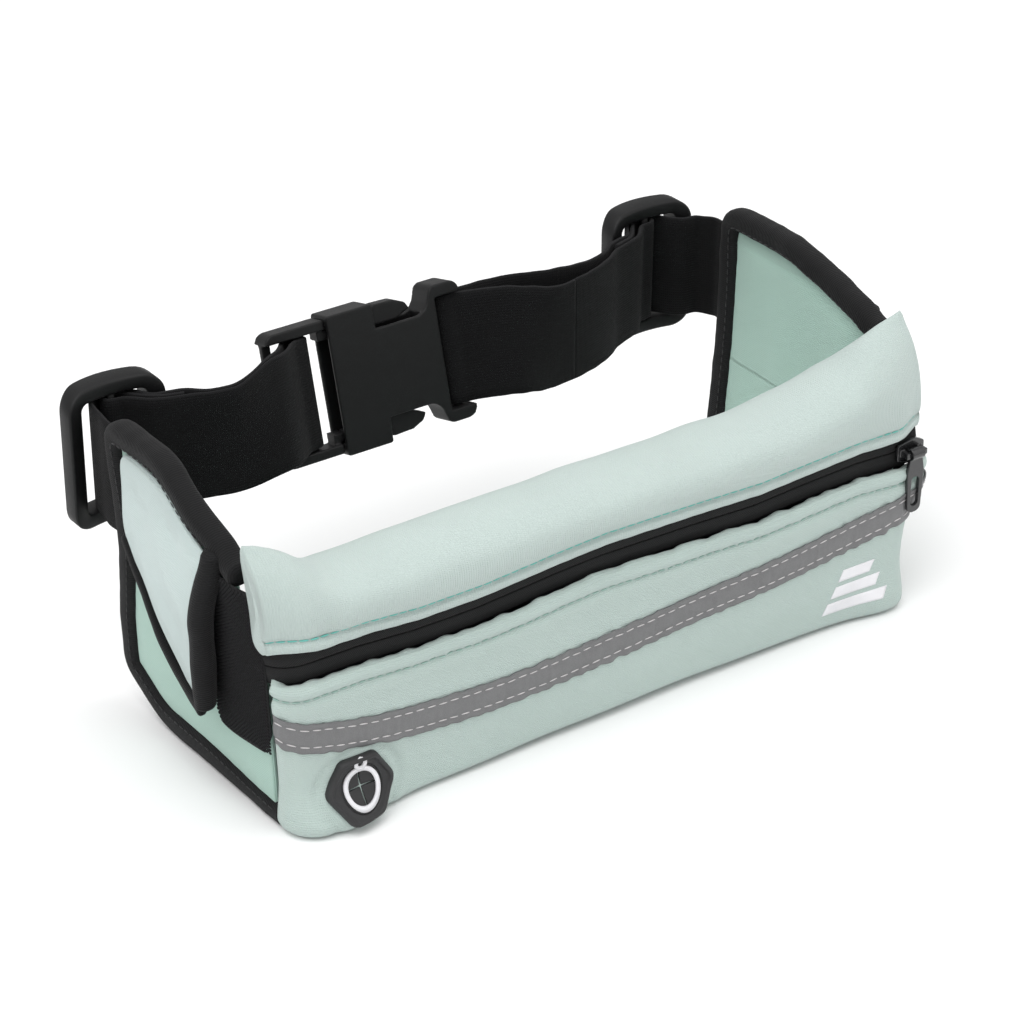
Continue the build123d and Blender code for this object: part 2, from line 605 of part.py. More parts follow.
# ---- assembly -----------------------------------------------------------------------------
def build():
    for name, wing, place in (
        ("left", (LEFT_REAR, LEFT_WAIST, LEFT_TOP, LEFT_SHOULDER), lambda s: WING_FRAME * s),
        ("right", (RIGHT_REAR, RIGHT_WAIST, RIGHT_TOP, RIGHT_SHOULDER), lambda s: mirrored(WING_FRAME * s)),
    ):
        parts[name + "_wing_panel"] = place(make_wing(wing))
        binding = place(make_wing_binding(wing))
        parts[name + "_wing_binding"] = binding & box(-CLEAR, CLEAR, -100, 100, 0, 200)
        parts[name + "_pocket_panel"] = place(make_pocket(wing))
        parts[name + "_pocket_binding"] = place(make_pocket_binding(wing))
        parts[name + "_mesh_gusset"] = place(make_gusset())
    parts["front_panel"] = make_front_panel()
    parts["back_panel"] = make_back_panel()
    parts["pouch_lining"] = make_lining()
    parts["top_roll"] = make_roll()
    parts["zipper_tape_lower"] = make_tape(FRONT_TOP, ZIP_Z - COIL_GAP / 2)
    parts["zipper_tape_upper"] = make_tape(ZIP_Z + COIL_GAP / 2, ROLL_BASE)
    parts["zipper_coil_lower"] = make_coil(ZIP_Z - COIL_GAP / 2 - COIL_HEIGHT, ZIP_Z - COIL_GAP / 2)
    parts["zipper_coil_upper"] = make_coil(ZIP_Z + COIL_GAP / 2, ZIP_Z + COIL_GAP / 2 + COIL_HEIGHT)
    parts["zipper_stop_left"] = make_stop(COIL_LEFT - 2.0)
    parts["zipper_slider"] = make_slider()
    parts["zipper_pull"] = make_pull()
    parts["reflective_strip"] = make_strip()
    parts["port_grommet"] = make_grommet()
    parts["port_membrane"] = make_membrane()
    parts["port_ring"] = make_ring()
    parts["emblem"] = make_emblem()
    parts["left_adjuster"] = make_adjuster(LEFT_SLIDE, 1)
    parts["right_adjuster"] = make_adjuster(RIGHT_SLIDE, -1)
    parts["buckle_plug"] = make_plug()
    parts["prong_upper"] = make_prong(1)
    parts["prong_lower"] = make_prong(-1)
    parts["buckle_socket"] = make_socket()
    parts["left_strap"] = make_strap(left_route(), *LEFT_LEAN)
    parts["right_strap"] = make_strap(right_route(), *RIGHT_LEAN)


build()
whole = Compound(children=list(parts.values())).bounding_box()
SHIFT = Vector(-(whole.min.X + whole.max.X) / 2, -(whole.min.Y + whole.max.Y) / 2, -whole.min.Z)
print("shift", SHIFT, "size", whole.size)
os.makedirs("parts", exist_ok=True)
for name, solid in parts.items():
    placed = [Pos(SHIFT) * piece for piece in solid.solids()]
    export_step(placed[0] if len(placed) == 1 else Compound(placed), f"parts/{name}.step")
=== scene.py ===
import math

import bmesh
import bpy
import numpy as np
from mathutils import Matrix, Vector


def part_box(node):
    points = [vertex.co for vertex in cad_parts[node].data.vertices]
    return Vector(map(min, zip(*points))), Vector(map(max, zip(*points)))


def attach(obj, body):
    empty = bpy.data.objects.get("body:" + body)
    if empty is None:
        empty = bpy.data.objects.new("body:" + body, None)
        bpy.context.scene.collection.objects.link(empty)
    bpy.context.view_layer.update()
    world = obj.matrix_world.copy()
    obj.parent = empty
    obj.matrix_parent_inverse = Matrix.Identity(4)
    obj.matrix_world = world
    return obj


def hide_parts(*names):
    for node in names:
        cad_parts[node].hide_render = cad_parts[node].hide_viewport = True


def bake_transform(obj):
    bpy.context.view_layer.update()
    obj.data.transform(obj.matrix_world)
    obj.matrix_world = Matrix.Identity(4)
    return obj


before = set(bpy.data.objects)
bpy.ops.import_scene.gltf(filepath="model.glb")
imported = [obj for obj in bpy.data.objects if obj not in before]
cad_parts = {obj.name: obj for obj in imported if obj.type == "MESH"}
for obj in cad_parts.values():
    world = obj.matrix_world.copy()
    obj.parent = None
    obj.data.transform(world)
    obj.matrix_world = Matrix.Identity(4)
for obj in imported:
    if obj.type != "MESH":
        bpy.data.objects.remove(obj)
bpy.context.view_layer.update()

# Waist pack. Shapes are worked out in millimetres with the pouch's foot centred on x = 0 and its
# front at y = -70, and placed from the front panel's own box.
low_corner, high_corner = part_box("front_panel")
ORIGIN = np.array([
    500 * (low_corner.x + high_corner.x), 1000 * low_corner.y + 70, 1000 * low_corner.z])

# ---- sizes shared with the solids ------------------------------------------------------------
FRONT, BACK = -70.0, -36.0
FOOT_HALF = 129.0
FLARE = 3 / 61.5
LEAN = math.atan(FLARE)
CORNER = 9.0
TURN = CORNER * math.pi / 2
FOLD = 4.0
KNIT = 3.0
ZIP_Z = 61.5
FRONT_TOP, ROLL_BASE = 55.75, 67.25
TAPE_Y, TAPE = -66.7, 0.9
END_SEAM = -61.0
NOTCH = -46.0
BUCKLE_Y, WEB_Z, WEB_WIDTH, WEB = 48.5, 87.0, 40.0, 1.6
PLUG_X, BUCKLE_LEAN = -38.0, math.radians(15)
LEFT_SLIDE, RIGHT_SLIDE = (-121.5, 46.5), (108.5, 57.0)
PORT, PORT_WIDE, PORT_HIGH = (-106.0, 13.5), 13.5, 10.5
MARK = (102.0, 15.5)
WINGS = {
    "left": {"rear": 37.0, "waist": 5.0, "top": 112.5, "shoulder": 93.0, "side": -1},
    "right": {"rear": 44.0, "waist": 1.0, "top": 115.0, "shoulder": 103.0, "side": 1},
}
BINDING = 9.0


# ---- smooth wander, curves and meshes --------------------------------------------------------
def wander(t, size, seed, across=0.0):
    """Smooth seeded wander of about -1 to 1, with features about size mm long."""
    draw = np.random.default_rng(seed)
    total = 0.0
    for _ in range(5):
        length, angle = size * draw.uniform(0.7, 1.9), draw.uniform(-0.9, 0.9)
        total = total + np.sin(
            2 * np.pi * (t * math.cos(angle) + across * math.sin(angle)) / length
            + draw.uniform(0, 2 * np.pi))
    return total / 3


def hill(t, centre, width):
    return np.exp(-(((t - centre) / width) ** 2))


def ease(t, start, end):
    share = np.clip((t - start) / (end - start), 0, 1)
    return share * share * (3 - 2 * share)


def lengths(line):
    return np.concatenate([[0], np.cumsum(np.linalg.norm(np.diff(line, axis=0), axis=1))])


def unit(vectors):
    return vectors / np.maximum(np.linalg.norm(vectors, axis=-1, keepdims=True), 1e-9)


def evenly(line, step):
    along = lengths(line)
    at = np.linspace(0, along[-1], max(2, int(round(along[-1] / step)) + 1))
    return np.stack([np.interp(at, along, line[:, k]) for k in range(line.shape[1])], axis=1)


def through(points, step):
    """Points about step apart on a smooth curve through these points."""
    p = np.array(points, float)
    p = np.vstack([2 * p[0] - p[1], p, 2 * p[-1] - p[-2]])
    t = np.linspace(0, 1, 16, endpoint=False)[:, None]
    made = []
    for a, b, c, d in zip(p, p[1:], p[2:], p[3:]):
        k, m, n = (math.sqrt(np.linalg.norm(e)) for e in (b - a, c - b, d - c))
        leave = m * ((b - a) / k - (c - a) / (k + m) + (c - b) / m)
        arrive = m * ((c - b) / m - (d - b) / (m + n) + (d - c) / n)
        made.append((2 * t**3 - 3 * t**2 + 1) * b + (t**3 - 2 * t**2 + t) * leave
                    + (3 * t**2 - 2 * t**3) * c + (t**3 - t**2) * arrive)
    return evenly(np.vstack(made + [p[-2][None]]), step)


def rounded(corners, step=1.0):
    """Closed outline through (u, v, radius) corners, with arcs at the corners."""
    points = np.array([c[:2] for c in corners], float)
    made = []
    for i, (u, v, radius) in enumerate(corners):
        here, before, after = points[i], points[i - 1], points[(i + 1) % len(points)]
        a, b = before - here, after - here
        la, lb = np.linalg.norm(a), np.linalg.norm(b)
        a, b = a / la, b / lb
        half = math.acos(np.clip(a @ b, -1, 1)) / 2
        reach = min(radius / math.tan(half), 0.49 * la, 0.49 * lb) if radius else 0
        t = np.linspace(0, 1, 9 if radius else 1)[:, None]
        start, end = here + a * reach, here + b * reach
        made.append((1 - t) ** 2 * start + 2 * t * (1 - t) * here + t**2 * end)
    line = np.vstack(made)
    return evenly(np.vstack([line, line[:1]]), step)


def across(outline, v, inset):
    """Where the level v crosses an outline, drawn in by inset."""
    a, b = outline[:-1], outline[1:]
    v = np.clip(v, outline[:, 1].min() + 0.02, outline[:, 1].max() - 0.02)
    hit = (a[:, 1] - v) * (b[:, 1] - v) <= 0
    a, b = a[hit], b[hit]
    rise = b[:, 1] - a[:, 1]
    share = np.where(np.abs(rise) > 1e-9, (v - a[:, 1]) / np.where(rise == 0, 1, rise), 0.5)
    u = a[:, 0] + share * (b[:, 0] - a[:, 0])
    return u.min() + inset, u.max() - inset


def from_edge(points, outline):
    """Distance of each point from an outline."""
    flat = points.reshape(-1, 2)
    gap = np.min(np.linalg.norm(flat[:, None] - outline[None], axis=2), axis=1)
    return gap.reshape(points.shape[:-1])


def facing(grid):
    """Unit normals of a grid of points."""
    return unit(np.cross(np.gradient(grid, axis=0), np.gradient(grid, axis=1)))


class Form:
    """A mesh gathered from grids, with a flat pattern of its own in millimetres."""

    def __init__(self):
        self.points, self.faces, self.marks, self.count = [], [], [], 0

    def add(self, points, faces, marks):
        self.points.append(points.reshape(-1, 3))
        self.faces += (faces + self.count).tolist()
        self.marks.append(marks.reshape(-1, 2))
        self.count += points.size // 3
        return self

    def grid(self, points, wrap=False, ring=False):
        """Quads over rows and columns. wrap closes each row, ring joins last row to first."""
        rows, cols = points.shape[:2]
        full = points
        if wrap:
            full = np.concatenate([full, full[:, :1]], axis=1)
        if ring:
            full = np.concatenate([full, full[:1]], axis=0)
        u, v = lengths(full[full.shape[0] // 2]), lengths(full[:, full.shape[1] // 2])
        r, c = np.meshgrid(
            np.arange(full.shape[0] - 1), np.arange(full.shape[1] - 1), indexing="ij")
        corners = [(r, c), (r, c + 1), (r + 1, c + 1), (r + 1, c)]
        faces = np.stack([(a % rows) * cols + b % cols for a, b in corners], -1).reshape(-1, 4)
        marks = np.stack([np.stack([u[b], v[a]], -1) for a, b in corners], 2)
        return self.add(points, faces, marks)

    def fan(self, loop):
        """Closes a loop with triangles to its middle."""
        n = len(loop)
        i = np.arange(n)
        faces = np.stack([i, (i + 1) % n, np.full(n, n)], -1)
        return self.add(np.vstack([loop, loop.mean(0)]), faces, np.zeros((n, 3, 2)))

    def capped(self, loop, shrinks, moves):
        """Closes a loop with smaller and smaller copies of itself, moved on from it, and a fan."""
        centre, last = loop.mean(0), loop
        for shrink, move in zip(shrinks, moves):
            ring = centre + (loop - centre) * shrink + move
            self.grid(np.stack([last, ring]), wrap=True)
            last = ring
        return self.fan(last)

    def shell(self, outer, inner, rim=0.3):
        """Two faces of a cloth and its rounded rim."""
        self.grid(outer)
        self.grid(inner)
        edge = lambda g: np.vstack([g[0, :-1], g[:-1, -1], g[-1, :0:-1], g[:0:-1, 0]])
        a, b = edge(outer), edge(inner)
        middle = (a + b) / 2
        thick = np.linalg.norm(a - b, axis=1, keepdims=True)
        away = middle - middle.mean(0)
        away -= (away * (a - b)).sum(1, keepdims=True) * (a - b) / np.maximum(thick, 1e-6) ** 2
        strip = np.stack([a, middle + unit(away) * thick * rim, b])
        return self.grid(strip, wrap=True)

    def made(self, name, finish):
        mesh = bpy.data.meshes.new(name)
        points = (np.vstack(self.points) + ORIGIN) / 1000
        mesh.from_pydata(points.tolist(), [], self.faces)
        layer = mesh.uv_layers.new(name="cloth")
        layer.data.foreach_set("uv", np.vstack(self.marks).astype(np.float32).ravel())
        shape = bmesh.new()
        shape.from_mesh(mesh)
        bmesh.ops.remove_doubles(shape, verts=shape.verts, dist=2e-6)
        bmesh.ops.recalc_face_normals(shape, faces=shape.faces)
        shape.to_mesh(mesh)
        shape.free()
        mesh.polygons.foreach_set("use_smooth", [True] * len(mesh.polygons))
        mesh.materials.append(finish)
        return placed(name, mesh)


def placed(name, data):
    thing = bpy.data.objects.new(name, data)
    bpy.context.scene.collection.objects.link(thing)
    return thing


def clothed(outer, thick, rim=0.3):
    """A cloth of even thickness behind its outer face."""
    return Form().shell(outer, outer - facing(outer) * thick, rim)


# ---- materials -------------------------------------------------------------------------------
class Signal:
    """One socket of a material. Arithmetic on it adds Math nodes."""

    def __init__(self, paint, socket):
        self.paint, self.socket = paint, socket

    def math(self, operation, *values):
        inputs = dict(enumerate(values))
        return self.paint.node("Math", {"operation": operation}, inputs)

    def __add__(self, other):
        return self.math("ADD", self, other)

    def __sub__(self, other):
        return self.math("SUBTRACT", self, other)

    def __mul__(self, other):
        return self.math("MULTIPLY", self, other)

    __radd__, __rmul__ = __add__, __mul__

    def sin(self):
        return self.math("SINE", self)

    def size(self):
        return self.math("ABSOLUTE", self)


class Paint:
    """A material built round the Principled shader."""

    def __init__(self, name, **constants):
        self.material = bpy.data.materials.new(name)
        self.material.use_nodes = True
        self.tree = self.material.node_tree
        self.shader = self.tree.nodes["Principled BSDF"]
        self.put(**constants)

    def node(self, kind, settings=None, inputs=None, output=0):
        made = self.tree.nodes.new("ShaderNode" + kind)
        for key, value in (settings or {}).items():
            if key == "stops":
                for stop, (place, shade) in zip(made.color_ramp.elements, value):
                    stop.position, stop.color = place, (*[shade] * 3, 1)
            else:
                setattr(made, key, value)
        for key, value in (inputs or {}).items():
            self.feed(made.inputs[key], value)
        return Signal(self, made.outputs[output])

    def feed(self, socket, value):
        if isinstance(value, Signal):
            self.tree.links.new(value.socket, socket)
        else:
            socket.default_value = value

    def put(self, **values):
        for key, value in values.items():
            self.feed(self.shader.inputs[key.replace("_", " ")], value)
        return self

    def pattern(self):
        """Across and along the cloth, in millimetres."""
        uv = self.node("UVMap", {"uv_map": "cloth"})
        split = {0: uv}
        return (self.node("SeparateXYZ", None, split, 0), self.node("SeparateXYZ", None, split, 1))

    def spots(self, scale, detail=2.0, roughness=0.5):
        """Noise through the piece, with features about 1/scale metres across."""
        place = self.node("TexCoord", output=3)
        return self.node("TexNoise", None, {
            "Vector": place, "Scale": scale, "Detail": detail, "Roughness": roughness}, 0)

    def blend(self, share, dark, light):
        return self.node("Mix", {"data_type": "RGBA"}, {0: share, 6: dark, 7: light}, 2)

    def bumped(self, height, depth, strength=1.0):
        """Height of 0 to 1 over a depth in metres, as a bump."""
        normal = self.node("Bump", None, {
            "Height": height, "Distance": depth, "Strength": strength})
        return self.put(Normal=normal)


def tint(colour, scale=1.0):
    return (*[min(1.0, c * scale) for c in colour], 1.0)


def finished(paint, colour, dark, light, shade, rough, relief, depth):
    """Colour between two tints by shade, with its roughness and relief."""
    paint.put(Base_Color=paint.blend(shade, tint(colour, dark), tint(colour, light)),
              Roughness=rough)
    return paint.bumped(relief, depth).material


def knit(name, colour, rib=0.75, depth=0.00016, lift=0.06):
    """Fine ribbed knit with a soft nap."""
    p = Paint(name, Sheen_Weight=0.25, Sheen_Roughness=0.45, Specular_IOR_Level=0.25)
    u, v = p.pattern()
    ribs = (v * (2 * math.pi / rib)).sin()
    loops = (u * (2 * math.pi / (0.8 * rib)) + (v * (math.pi / rib)).sin() * 1.6).sin()
    nap = p.spots(5200.0, 3.0, 0.7)
    cloud = p.spots(38.0, 2.0)
    relief = ribs * 0.32 + loops * 0.18 + nap * 0.7
    shade = relief * 0.16 + cloud * 0.55 + 0.1
    return finished(p, colour, 1 - lift, 1 + lift, shade, nap * 0.1 + 0.86, relief, depth)


def ribbed(name, colour, pitch=0.8, depth=0.00014):
    """Black knitted tape with ribs across it."""
    p = Paint(name, Sheen_Weight=0.06, Sheen_Roughness=0.4, Specular_IOR_Level=0.2)
    u, v = p.pattern()
    ribs = (v * (2 * math.pi / pitch) + (u * (2 * math.pi / 2.3)).sin() * 0.5).sin()
    nap = p.spots(4200.0, 3.0, 0.75)
    relief = ribs * 0.4 + nap * 0.8
    return finished(p, colour, 0.7, 1.45, relief * 0.5 + 0.15, nap * 0.12 + 0.84, relief, depth)


def woven(name, colour):
    """Elastic webbing: cords along it, a fine cross rib and a lighter worn edge."""
    p = Paint(name, Sheen_Weight=0.04, Sheen_Roughness=0.4, Specular_IOR_Level=0.15)
    u, v = p.pattern()
    warp = (u * (2 * math.pi / 0.95)).sin()
    weft = (v * (2 * math.pi / 0.7) + warp * 1.3).sin()
    nap = p.spots(3800.0, 3.0, 0.8)
    cloud = p.spots(90.0, 3.0)
    relief = warp * 0.22 + weft * 0.3 + nap * 0.7
    shade = relief * 0.34 + cloud * 0.4 + 0.05
    edge = ((u + 0.97) * (math.pi / 40.55)).sin().size() * -1 + 1.0
    worn = (edge - 0.9) * 6.0
    tone = p.blend(shade, tint(colour, 0.7), tint(colour, 1.5))
    p.put(Base_Color=p.blend(worn.math("MAXIMUM", worn, 0.0), tone, tint(colour, 3.4)),
          Roughness=nap * 0.12 + 0.82)
    return p.bumped(relief, 0.00022).material


def twill(name, colour, pitch=0.9, depth=0.00018):
    """Fine twill tape or lining."""
    p = Paint(name, Sheen_Weight=0.03, Specular_IOR_Level=0.2)
    u, v = p.pattern()
    line = ((u + v) * (2 * math.pi / pitch)).sin()
    cross = ((u - v) * (2 * math.pi / (0.45 * pitch))).sin()
    nap = p.spots(3000.0, 2.0, 0.7)
    relief = line * 0.3 + cross * 0.15 + nap * 0.5
    return finished(p, colour, 0.75, 1.35, relief * 0.5 + 0.25, nap * 0.15 + 0.68, relief, depth)


def moulding(name, colour, rough, grain=2600.0, depth=0.00006, coat=0.0, shine=0.5):
    """Moulded plastic, rubber or enamel with a fine grain and handled patches."""
    p = Paint(name, Specular_IOR_Level=shine, Coat_Roughness=0.2)
    fine = p.spots(grain, 2.0, 0.6)
    patch = p.spots(70.0, 3.0)
    rough = patch * 0.16 + fine * 0.1 + (rough - 0.13)
    return finished(p.put(Coat_Weight=coat), colour, 0.85, 1.25, patch, rough, fine, depth)


def glass_beads(name, colour):
    """Retro-reflective tape: a grey film of tiny beads, rubbed duller in patches."""
    p = Paint(name, Specular_IOR_Level=0.6)
    place = p.node("TexCoord", output=3)
    beads = p.node("TexVoronoi", None, {"Vector": place, "Scale": 2400.0}, 0)
    rub = p.spots(420.0, 4.0, 0.7)
    fold = p.spots(150.0, 2.0)
    shade = beads * 0.5 + rub * 0.6 + fold * 0.3 - 0.25
    p.put(Metallic=beads * 0.3 + 0.1)
    return finished(p, colour, 0.72, 1.3, shade, rub * 0.25 + 0.36, beads * 0.3 + rub * 0.7,
                    0.00022)


def spun(name, colour):
    """Sewing thread."""
    p = Paint(name, Specular_IOR_Level=0.4, Sheen_Weight=0.2)
    twist = p.spots(2600.0, 1.0)
    return finished(p, colour, 0.8, 1.15, twist, twist * 0.2 + 0.5, twist, 0.00012)


mint = knit("mint_knit", (0.475, 0.572, 0.538))
# Lit copy of the mint knit for the roll: its lighter, bluer tint is painted light from above. Its
# coarser rib is the cloth's own.
mint_roll_painted_light = knit("mint_knit_roll_painted_light", (0.495, 0.578, 0.553), rib=0.9, depth=0.00022)
# Shaded copy of the mint knit for the wing panels: its less red, greener tone is painted bounce
# light from the mint cloth around it.
mint_wing_painted_bounce = knit("mint_knit_wing_painted_bounce", (0.42, 0.60, 0.525))
# Lit copy of the mint knit for the slip pockets: its lighter, whiter tint is painted light on their
# upturned faces.
mint_pocket_painted_light = knit("mint_knit_pocket_painted_light", (0.56, 0.655, 0.64))
black_knit = ribbed("black_binding", (0.0115, 0.0115, 0.012))
black_webbing = woven("black_elastic", (0.0062, 0.0062, 0.0066))
charcoal_tape = twill("charcoal_tape", (0.015, 0.015, 0.0155))
lining_nylon = twill("lining_nylon", (0.09, 0.095, 0.10), 0.6)
black_mesh = twill("black_mesh", (0.014, 0.014, 0.015), 0.7, 0.0003)
black_plastic = moulding("black_plastic", (0.0052, 0.0053, 0.0056), 0.5, shine=0.26)
black_rubber = moulding("black_rubber", (0.02, 0.02, 0.021), 0.6, 1500.0)
black_enamel = moulding("black_enamel", (0.012, 0.012, 0.013), 0.22, 900.0, 0.00002, 0.5)
coil_nylon = moulding("coil_nylon", (0.02, 0.02, 0.021), 0.4)
grey_beads = glass_beads("grey_beads", (0.165, 0.165, 0.168))
white_ink = moulding("white_ink", (0.76, 0.755, 0.78), 0.6, 1800.0, 0.00003)
white_thread = spun("white_thread", (0.62, 0.60, 0.60))
teal_thread = spun("teal_thread", (0.16, 0.56, 0.49))
mint_thread = spun("mint_thread", (0.34, 0.52, 0.46))
black_thread = spun("black_thread", (0.012, 0.012, 0.013))


# ---- repeated work by Geometry Nodes ---------------------------------------------------------
def line_tree(name, sizes, shape):
    """Geometry Nodes that put one shape at each pitch along every line, aimed along it. shape
    makes its output from the tree's node maker and the named sizes, and may return a scale."""
    tree = bpy.data.node_groups.new(name, "GeometryNodeTree")
    sockets = tree.interface
    sockets.new_socket(name="Geometry", in_out="OUTPUT", socket_type="NodeSocketGeometry")
    for label, kind in (("Lines", "Geometry"), *[(size, "Float") for size in sizes],
                        ("Finish", "Material")):
        sockets.new_socket(name=label, in_out="INPUT", socket_type="NodeSocket" + kind)

    def node(kind, settings=None, **links):
        made = tree.nodes.new(kind)
        for key, value in (settings or {}).items():
            setattr(made, key, value)
        for key, value in links.items():
            socket = made.inputs[key.replace("_", " ")]
            if isinstance(value, bpy.types.NodeSocket):
                tree.links.new(value, socket)
            else:
                socket.default_value = value
        return made

    given = node("NodeGroupInput").outputs
    line = node("GeometryNodeMeshToCurve", Mesh=given["Lines"])
    spots = node("GeometryNodeCurveToPoints", {"mode": "LENGTH"},
                 Curve=line.outputs["Curve"], Length=given["Pitch"])
    aim = node("FunctionNodeAlignRotationToVector", {"axis": "Z"},
               Vector=spots.outputs["Tangent"])
    put = node("GeometryNodeInstanceOnPoints", Points=spots.outputs["Points"],
               Rotation=aim.outputs["Rotation"], **shape(node, given))
    real = node("GeometryNodeRealizeInstances", Geometry=put.outputs["Instances"])
    smooth = node("GeometryNodeSetShadeSmooth", Geometry=real.outputs["Geometry"])
    paint = node("GeometryNodeSetMaterial", Geometry=smooth.outputs["Geometry"],
                 Material=given["Finish"])
    node("NodeGroupOutput", Geometry=paint.outputs["Geometry"])
    return tree


def stitch_shape(node, given):
    """One short round stitch."""
    size = node("ShaderNodeCombineXYZ", X=given["Thread"], Y=given["Thread"], Z=given["Stitch"])
    bead = node("GeometryNodeMeshUVSphere", Segments=6, Rings=5, Radius=1.0)
    return {"Instance": bead.outputs["Mesh"], "Scale": size.outputs["Vector"]}


def turn_shape(node, given):
    """One turn of a zip coil."""
    turn = node("GeometryNodeCurvePrimitiveCircle", Resolution=10, Radius=given["Radius"])
    wire = node("GeometryNodeCurvePrimitiveCircle", Resolution=5, Radius=given["Wire"])
    loop = node("GeometryNodeCurveToMesh", Curve=turn.outputs["Curve"],
                Profile_Curve=wire.outputs["Curve"])
    return {"Instance": loop.outputs["Mesh"]}


STITCHING = line_tree("Stitching", ("Pitch", "Stitch", "Thread"), stitch_shape)
COIL = line_tree("Coil", ("Pitch", "Radius", "Wire"), turn_shape)


def baked(piece):
    """The piece with its modifiers worked into a plain mesh."""
    ready = piece.evaluated_get(bpy.context.evaluated_depsgraph_get())
    mesh = bpy.data.meshes.new_from_object(ready)
    piece.modifiers.clear()
    piece.data = mesh
    mesh.name = piece.name
    return piece


def along_lines(name, tree, lines, values, finish):
    """A tree's work along lines of points in millimetres; values are its sizes in millimetres."""
    points, edges = [], []
    for line in lines:
        base = len(points)
        points += ((np.asarray(line) + ORIGIN) / 1000).tolist()
        edges += [(base + i, base + i + 1) for i in range(len(line) - 1)]
    mesh = bpy.data.meshes.new(name)
    mesh.from_pydata(points, edges, [])
    piece = placed(name, mesh)
    work = piece.modifiers.new("work", "NODES")
    work.node_group = tree
    sockets = [i for i in tree.interface.items_tree if i.in_out == "INPUT"]
    for socket, value in zip(sockets[1:], [*[v / 1000 for v in values], finish]):
        work[socket.identifier] = value
    return baked(piece)


def stitched(name, lines, finish, pitch=4.0, stitch=3.2, thread=0.28):
    return along_lines(name, STITCHING, lines, (pitch, stitch / 2, thread), finish)


def together(name, pieces):
    """Several pieces as one."""
    shape = bmesh.new()
    finishes = []
    for piece in pieces:
        start = len(shape.faces)
        shape.from_mesh(piece.data)
        shape.faces.ensure_lookup_table()
        shift = len(finishes)
        finishes += list(piece.data.materials)
        for face in shape.faces[start:]:
            face.material_index += shift
    mesh = bpy.data.meshes.new(name)
    shape.to_mesh(mesh)
    shape.free()
    for finish in finishes:
        mesh.materials.append(finish)
    for piece in pieces:
        bpy.data.objects.remove(piece)
    return placed(name, mesh)


def settle(piece, body="pack", nodes=()):
    if body:
        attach(piece, body)
    if nodes:
        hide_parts(*nodes)
    return piece


# ---- the pouch's front -----------------------------------------------------------------------
ZIP_RISE = 1.7
ZIP_WAVE = ([-135, -118, -102, -81, -56, -26, -7, 32, 58, 79, 103, 119, 135],
            [0.3, 0, 0, -1.0, -1.0, 0.2, 0.7, 0.1, -0.5, 0.1, 0.7, 0.1, 0.1])


def zip_wave(x):
    """The zip's gentle rise and fall along the pouch."""
    return ZIP_RISE * np.interp(x, *ZIP_WAVE)


def swell(s, z):
    """How far the front stands out from its plain plan, at s round it and z up it."""
    top = FRONT_TOP + zip_wave(s)
    out = 1.0 * hill(z, top - 2.4, 2.0)
    out = out - (0.8 + 0.3 * wander(s, 7, 11)) * hill(z, top - 5.6, 0.9)
    out = out + 0.5 * hill(z, top - 9, 3.0) + 0.35 * wander(s, 60, 12, z)
    out = out - 0.5 * hill(z, top - 1.0, 1.0) * (0.5 + 0.5 * wander(s, 9, 13))
    port = np.hypot((s - PORT[0]) / 15, (z - PORT[1]) / 12.5)
    out = out * (1 - 0.85 * (1 - ease(port, 0.75, 1.5))) - 0.9 * hill(port, 1.05, 0.1)
    foot = 1 - ease(z, 2, 19)
    out = out + foot * (7.5 * hill(s, -112, 18) + 3.2 * hill(s, 118, 12))
    flare = 6.5 * ease(z, 30, 46) * ease(s, 124, 137)
    return out + flare - foot * 1.2 * hill(s, 60, 60) - 1.2 * hill(z, 22, 12) * hill(s, 133, 9)


def front_point(s, z, out=0.0, swollen=True):
    """A point on the pouch's front: s round its plan from the middle, z up, out from the cloth."""
    s, z = np.broadcast_arrays(np.asarray(s, float), np.asarray(z, float))
    side, reach = np.sign(s), np.abs(s)
    half = FOOT_HALF + FLARE * z
    past = reach - (half - CORNER)
    angle = np.clip(past / CORNER, 0, math.pi / 2)
    x = np.where(past < 0, reach, half - CORNER + CORNER * np.sin(angle))
    y = FRONT + CORNER * (1 - np.cos(angle)) + np.clip(past - TURN, 0, None)
    stand = out + (swell(s, z) if swollen else 0)
    x = (x + np.sin(angle) * stand) * np.where(side == 0, 1, side)
    return np.stack([x, y - np.cos(angle) * stand, z], -1)


def front_panel():
    s = np.linspace(-1, 1, 251) * (FOOT_HALF - CORNER + TURN + 1.2)
    drop = np.concatenate([np.linspace(0, 8, 17), np.linspace(9, 51.75, 36)])
    rows = []
    lift = 1.8 * hill(s, 10, 75)
    for d in drop:
        z = FRONT_TOP + zip_wave(s) - d * (FRONT_TOP + zip_wave(s) - FOLD) / 51.75
        rows.append(front_point(s, z + lift * ease(d, 25, 51.75)))
    foot = front_point(s, FOLD + lift)
    inward = foot - front_point(s, FOLD + lift, 1.0)
    for turn in (0.2, 0.4, 0.6, 0.8, 1.0):
        angle = turn * math.pi / 2
        row = foot + inward * FOLD * (1 - math.cos(angle))
        row[:, 2] -= FOLD * math.sin(angle)
        rows.append(row)
    for more in (1.5, 3.0):
        row = rows[len(drop) + 4] + inward * more
        rows.append(row)
    wall = np.stack(rows)
    form = clothed(wall, KNIT, 0.45)
    x, y = np.meshgrid(np.linspace(-124, 124, 90), np.linspace(-63, -39.5, 14))
    z = 0.15 + 0.5 * hill(x, 10, 75)
    under = np.stack([x, y, z], -1)
    above = under + np.array([0, 0, KNIT])
    form.shell(under, above)
    piece = form.made("front_panel_cloth", mint)
    return settle(piece, nodes=["front_panel"])


front_panel()


def row_on_front(lift, out):
    """A line on the front, lift above the top hem's edge at each place."""
    s = np.arange(-134.0, 134.0, 1.0)
    return front_point(s, FRONT_TOP + zip_wave(s) + lift, out)


settle(stitched("front_topstitch", [row_on_front(-5.6, 0.25)], mint_thread, 3.4, 2.7, 0.26))


